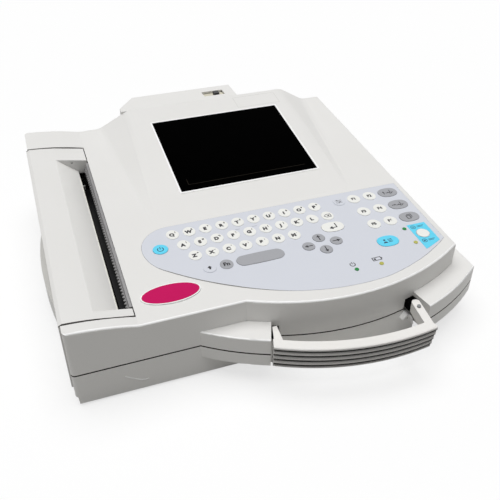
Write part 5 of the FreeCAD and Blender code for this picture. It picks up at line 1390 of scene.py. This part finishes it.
@dataclass
class PaperDrawer:
    """The drawer that holds the paper, with its grip, tray and rails."""

    slope_left_mm: float = 25.6
    slope_right_mm: float = 45.8
    slope_drop_mm: float = 16.5
    slope_foot_mm: float = 56.7
    lip_ends_mm: tuple[float, float] = (22.0, 236.0)
    lip_width_mm: float = 0.9
    lip_height_mm: float = 0.25
    lip_sunk_mm: float = 0.4
    slope_agrees: float = 0.99
    end_shade_width_mm: float = 1.0
    end_shade_height_mm: float = 0.06
    end_shade_near_mm: float = 0.05

    def build(self) -> None:
        """Dress the drawer, and add the lip of its paper slope as a painted highlight, the paler slope as
        painted light and the painted shade at the door's ends.
        """
        dress(DRAWER_ABS, "drawer_door", "drawer_tray")
        # painted shade: the grip's greyer finish stands for the door's shadow on it
        dress(GRIP_SHADED_ABS, "drawer_grip")
        dress(BLACK_NYLON, "drawer_rails", "platen_bearings")
        down = Vector((self.slope_right_mm - self.slope_left_mm, 0.0, -self.slope_drop_mm)).normalized()
        along = Vector((0.0, 1.0, DECK_SLOPE)).normalized()
        slope = Face(machine(self.slope_right_mm, 0.0, self.slope_foot_mm), down, along, down.cross(along))
        # painted highlight: a pale cream strip along the slope's edge
        lip = Relief(slope, self.lip_height_mm, self.lip_sunk_mm)
        near, far = self.lip_ends_mm
        lip.slab([(-self.lip_width_mm, near), (0.0, near), (0.0, far), (-self.lip_width_mm, far)])
        lip.piece("slope_lip", LIP_HIGHLIGHT_ABS, Body.DRAWER.value, "housing_plastic")
        # painted light: the slope's faces take a paler finish
        dress_faces(SLOPE_LIT_ABS, "drawer_door",
                    lambda polygon, _: polygon.normal.dot(slope.up) > self.slope_agrees)
        self.end_shade()

    def end_shade(self) -> None:
        """Line the two ends of the door with painted shade, along its gaps."""
        corners = [corner.co for corner in frame["nodes"]["drawer_door"].data.vertices]
        first = min(corner.y for corner in corners)
        last = max(corner.y for corner in corners)
        lift = UP * (self.end_shade_height_mm * MM)
        # painted shade: a thin dark strip along the top of each end of the door
        for name, end, way in (("near", first, 1.0), ("far", last, -1.0)):
            ridge = self.ridge([corner for corner in corners if abs(corner.y - end) < self.end_shade_near_mm * MM])
            inward = Vector((0.0, 1.0, DECK_SLOPE)) * (way * self.end_shade_width_mm * MM)
            mesh = bmesh.new()
            rows = [[mesh.verts.new(place + aside + step) for place in ridge]
                    for aside, step in ((Vector(), lift), (inward, lift), (inward, -lift), (Vector(), -lift))]
            for row, after in zip(rows, rows[1:] + rows[:1]):
                for index in range(len(ridge) - 1):
                    mesh.faces.new((row[index], row[index + 1], after[index + 1], after[index]))
            for index in (0, -1):
                mesh.faces.new([row[index] for row in rows])
            add_piece(f"door_end_shade_{name}", mesh, SEAM_SHADE, Body.DRAWER.value)

    @staticmethod
    def ridge(corners: list[Vector]) -> list[Vector]:
        """Return the corners along the top of an upright outline, from left to right.

        Args:
            corners: the corners of the outline.

        Returns:
            The corners that nothing of the outline lies above.
        """
        top: list[Vector] = []
        for corner in sorted(corners, key=lambda place: (place.x, place.z)):
            while len(top) > 1:
                edge = top[-1] - top[-2]
                step = corner - top[-1]
                if edge.x * step.z - edge.z * step.x < 0.0:
                    break
                top.pop()
            top.append(corner.copy())
        return top


@dataclass
class Printer:
    """The platen, its drive, the head and the tear bar."""

    def build(self) -> None:
        """Dress the printer."""
        dress(PLATEN_RUBBER, "platen_roller")
        dress(SHAFT_STEEL, "platen_shaft", "motor_shaft", "head_springs")
        dress(GEAR_ACETAL, "platen_gear")
        dress(PINION_BRASS, "motor_pinion")
        dress(MOTOR_STEEL, "motor")
        dress(HEAD_CERAMIC, "print_head")
        dress(BAR_STEEL, "tear_bar")


@dataclass
class CarryHandle:
    """The ribbed carrying handle, its arms, links and guides."""

    arm_tips_mm: tuple[Point, ...] = ((220.0, -13.0), (400.0, -22.0))

    def build(self) -> None:
        """Dress the handle, with its links and guides painted black as shade behind the tips of the arms."""
        dress(HANDLE_ABS, "carry_handle")
        # painted shade: the guides, and the handle's faces behind the arms' tips, are matt black
        dress(LINK_SHADE, "handle_guides")
        dress(PIN_ACETAL, "handle_pin")
        dress_faces(LINK_SHADE, "carry_handle", self.is_link)

    def is_link(self, _: bpy.types.MeshPolygon, middle: Vector) -> bool:
        """Tell whether a face lies behind the tip of its arm."""
        return middle.y > next(along for right, along in self.arm_tips_mm if middle.x < right)


@dataclass
class RearHood:
    """The hood over the cables at the back, with its sliding catch."""

    def build(self) -> None:
        """Dress the hood and its catch."""
        dress(COVER_ABS, "rear_hood")
        dress(CATCH_ACETAL, "rear_catch")
        dress(BLACK_NYLON, "catch_nub")


@dataclass
class Sockets:
    """The sockets at the back and on the right side."""

    def build(self) -> None:
        """Dress the sockets and the earth stud."""
        dress(BLACK_NYLON, "mains_inlet", "serial_socket", "patient_socket")
        dress(STUD_BRASS, "earth_stud")


@dataclass
class Studio:
    """Camera, lamps, floor and background."""

    eye: Point = (-0.165045, -0.523025)
    eye_height: float = 0.416765
    tilt: float = 0.936
    swing: float = -0.341
    lens_mm: float = 47.857
    sensor_mm: float = 36.0
    nearest: float = 0.01
    floor_size: float = 12.0
    floor_colour: str = "#B4B3B0"
    floor_seen: str = "#FFFFFF"
    floor_lift: float = 0.68
    sky_colour: str = "#FFFFFF"
    sky_level: float = 0.195
    key_level: float = 2.46
    key_back: float = 4.5
    key_left: float = 3.0
    key_spread: float = 58.0

    def build(self) -> None:
        """Set up the camera, the light and the floor."""
        self.camera()
        self.lamps()
        self.world()
        self.floor()
        bpy.context.scene.view_settings.view_transform = "Standard"

    def camera(self) -> None:
        """Stand the camera where the photograph was taken from."""
        data = bpy.data.cameras.new("camera")
        data.lens = self.lens_mm
        data.sensor_width = self.sensor_mm
        data.clip_start = self.nearest
        camera = bpy.data.objects.new("camera", data)
        camera.location = (self.eye[0], self.eye[1], self.eye_height)
        camera.rotation_euler = Euler((self.tilt, 0.0, self.swing))
        bpy.context.scene.collection.objects.link(camera)
        bpy.context.scene.camera = camera

    def lamps(self) -> None:
        """Hang one broad soft light overhead, a little behind the machine and to its left."""
        data = bpy.data.lights.new("overhead_softbox", "SUN")
        data.energy = self.key_level
        data.angle = math.radians(self.key_spread)
        lamp = bpy.data.objects.new("overhead_softbox", data)
        lamp.rotation_euler = Euler((math.radians(-self.key_back), math.radians(-self.key_left), 0.0))
        bpy.context.scene.collection.objects.link(lamp)

    def world(self) -> None:
        """Fill in with a dim even sky that is white to the camera and in reflections."""
        world = bpy.data.worlds.new("studio_sky")
        world.use_nodes = True
        tree = world.node_tree
        tree.nodes.clear()
        path = add_node(tree, "LightPath")
        seen = add_node(tree, "Math", {0: path.outputs["Is Camera Ray"], 1: path.outputs["Is Glossy Ray"]},
                        operation="MAXIMUM")
        clear = add_node(tree, "Math", {0: seen.outputs[0], 1: path.outputs["Is Transmission Ray"]},
                         operation="MAXIMUM")
        level = add_node(tree, "MapRange", {"Value": clear.outputs[0], "To Min": self.sky_level,
                                            "To Max": 1.0})
        sky = add_node(tree, "Background", {"Color": linear(self.sky_colour), "Strength": level.outputs[0]})
        add_node(tree, "OutputWorld", {"Surface": sky.outputs[0]})
        bpy.context.scene.world = world

    def floor(self) -> None:
        """Lay a pale matt floor, white to the camera and lit from below, so that the shadow stays faint."""
        half = self.floor_size / 2
        data = bpy.data.meshes.new("floor")
        corners = [(-half, -half, 0), (half, -half, 0), (half, half, 0), (-half, half, 0)]
        data.from_pydata(corners, [], [(0, 1, 2, 3)])
        floor = bpy.data.objects.new("floor", data)
        bpy.context.scene.collection.objects.link(floor)
        material = bpy.data.materials.new("studio_floor_matt_paper")
        material.use_nodes = True
        tree = material.node_tree
        tree.nodes.clear()
        path = add_node(tree, "LightPath")
        seen = add_node(tree, "Math", {0: path.outputs["Is Camera Ray"], 1: path.outputs["Is Glossy Ray"]},
                        operation="MAXIMUM")
        colour = add_node(tree, "Mix", {0: seen.outputs[0], MIX_A: linear(self.floor_colour),
                                        MIX_B: linear(self.floor_seen)}, data_type="RGBA")
        paper = add_node(tree, "BsdfDiffuse", {"Color": colour.outputs[MIX_COLOUR]})
        glow = add_node(tree, "Emission", {"Color": linear(self.floor_seen), "Strength": 1.0})
        lifted = add_node(tree, "Math", {0: seen.outputs[0], 1: self.floor_lift}, operation="MULTIPLY")
        surface = add_node(tree, "MixShader", {0: lifted.outputs[0], 1: paper.outputs[0], 2: glow.outputs[0]})
        add_node(tree, "OutputMaterial", {"Surface": surface.outputs[0]})
        data.materials.append(material)


def main() -> None:
    """Build each sub-assembly in order, then the studio."""
    logging.basicConfig(level=logging.INFO, format="%(name)s: %(message)s")
    for assembly in (Housing(), Display(), Keypad(), PaperDrawer(), Printer(), CarryHandle(), RearHood(),
                     Sockets(), Studio()):
        LOG.info("building %s", type(assembly).__name__)
        assembly.build()


if __name__ == "__main__":
    main()
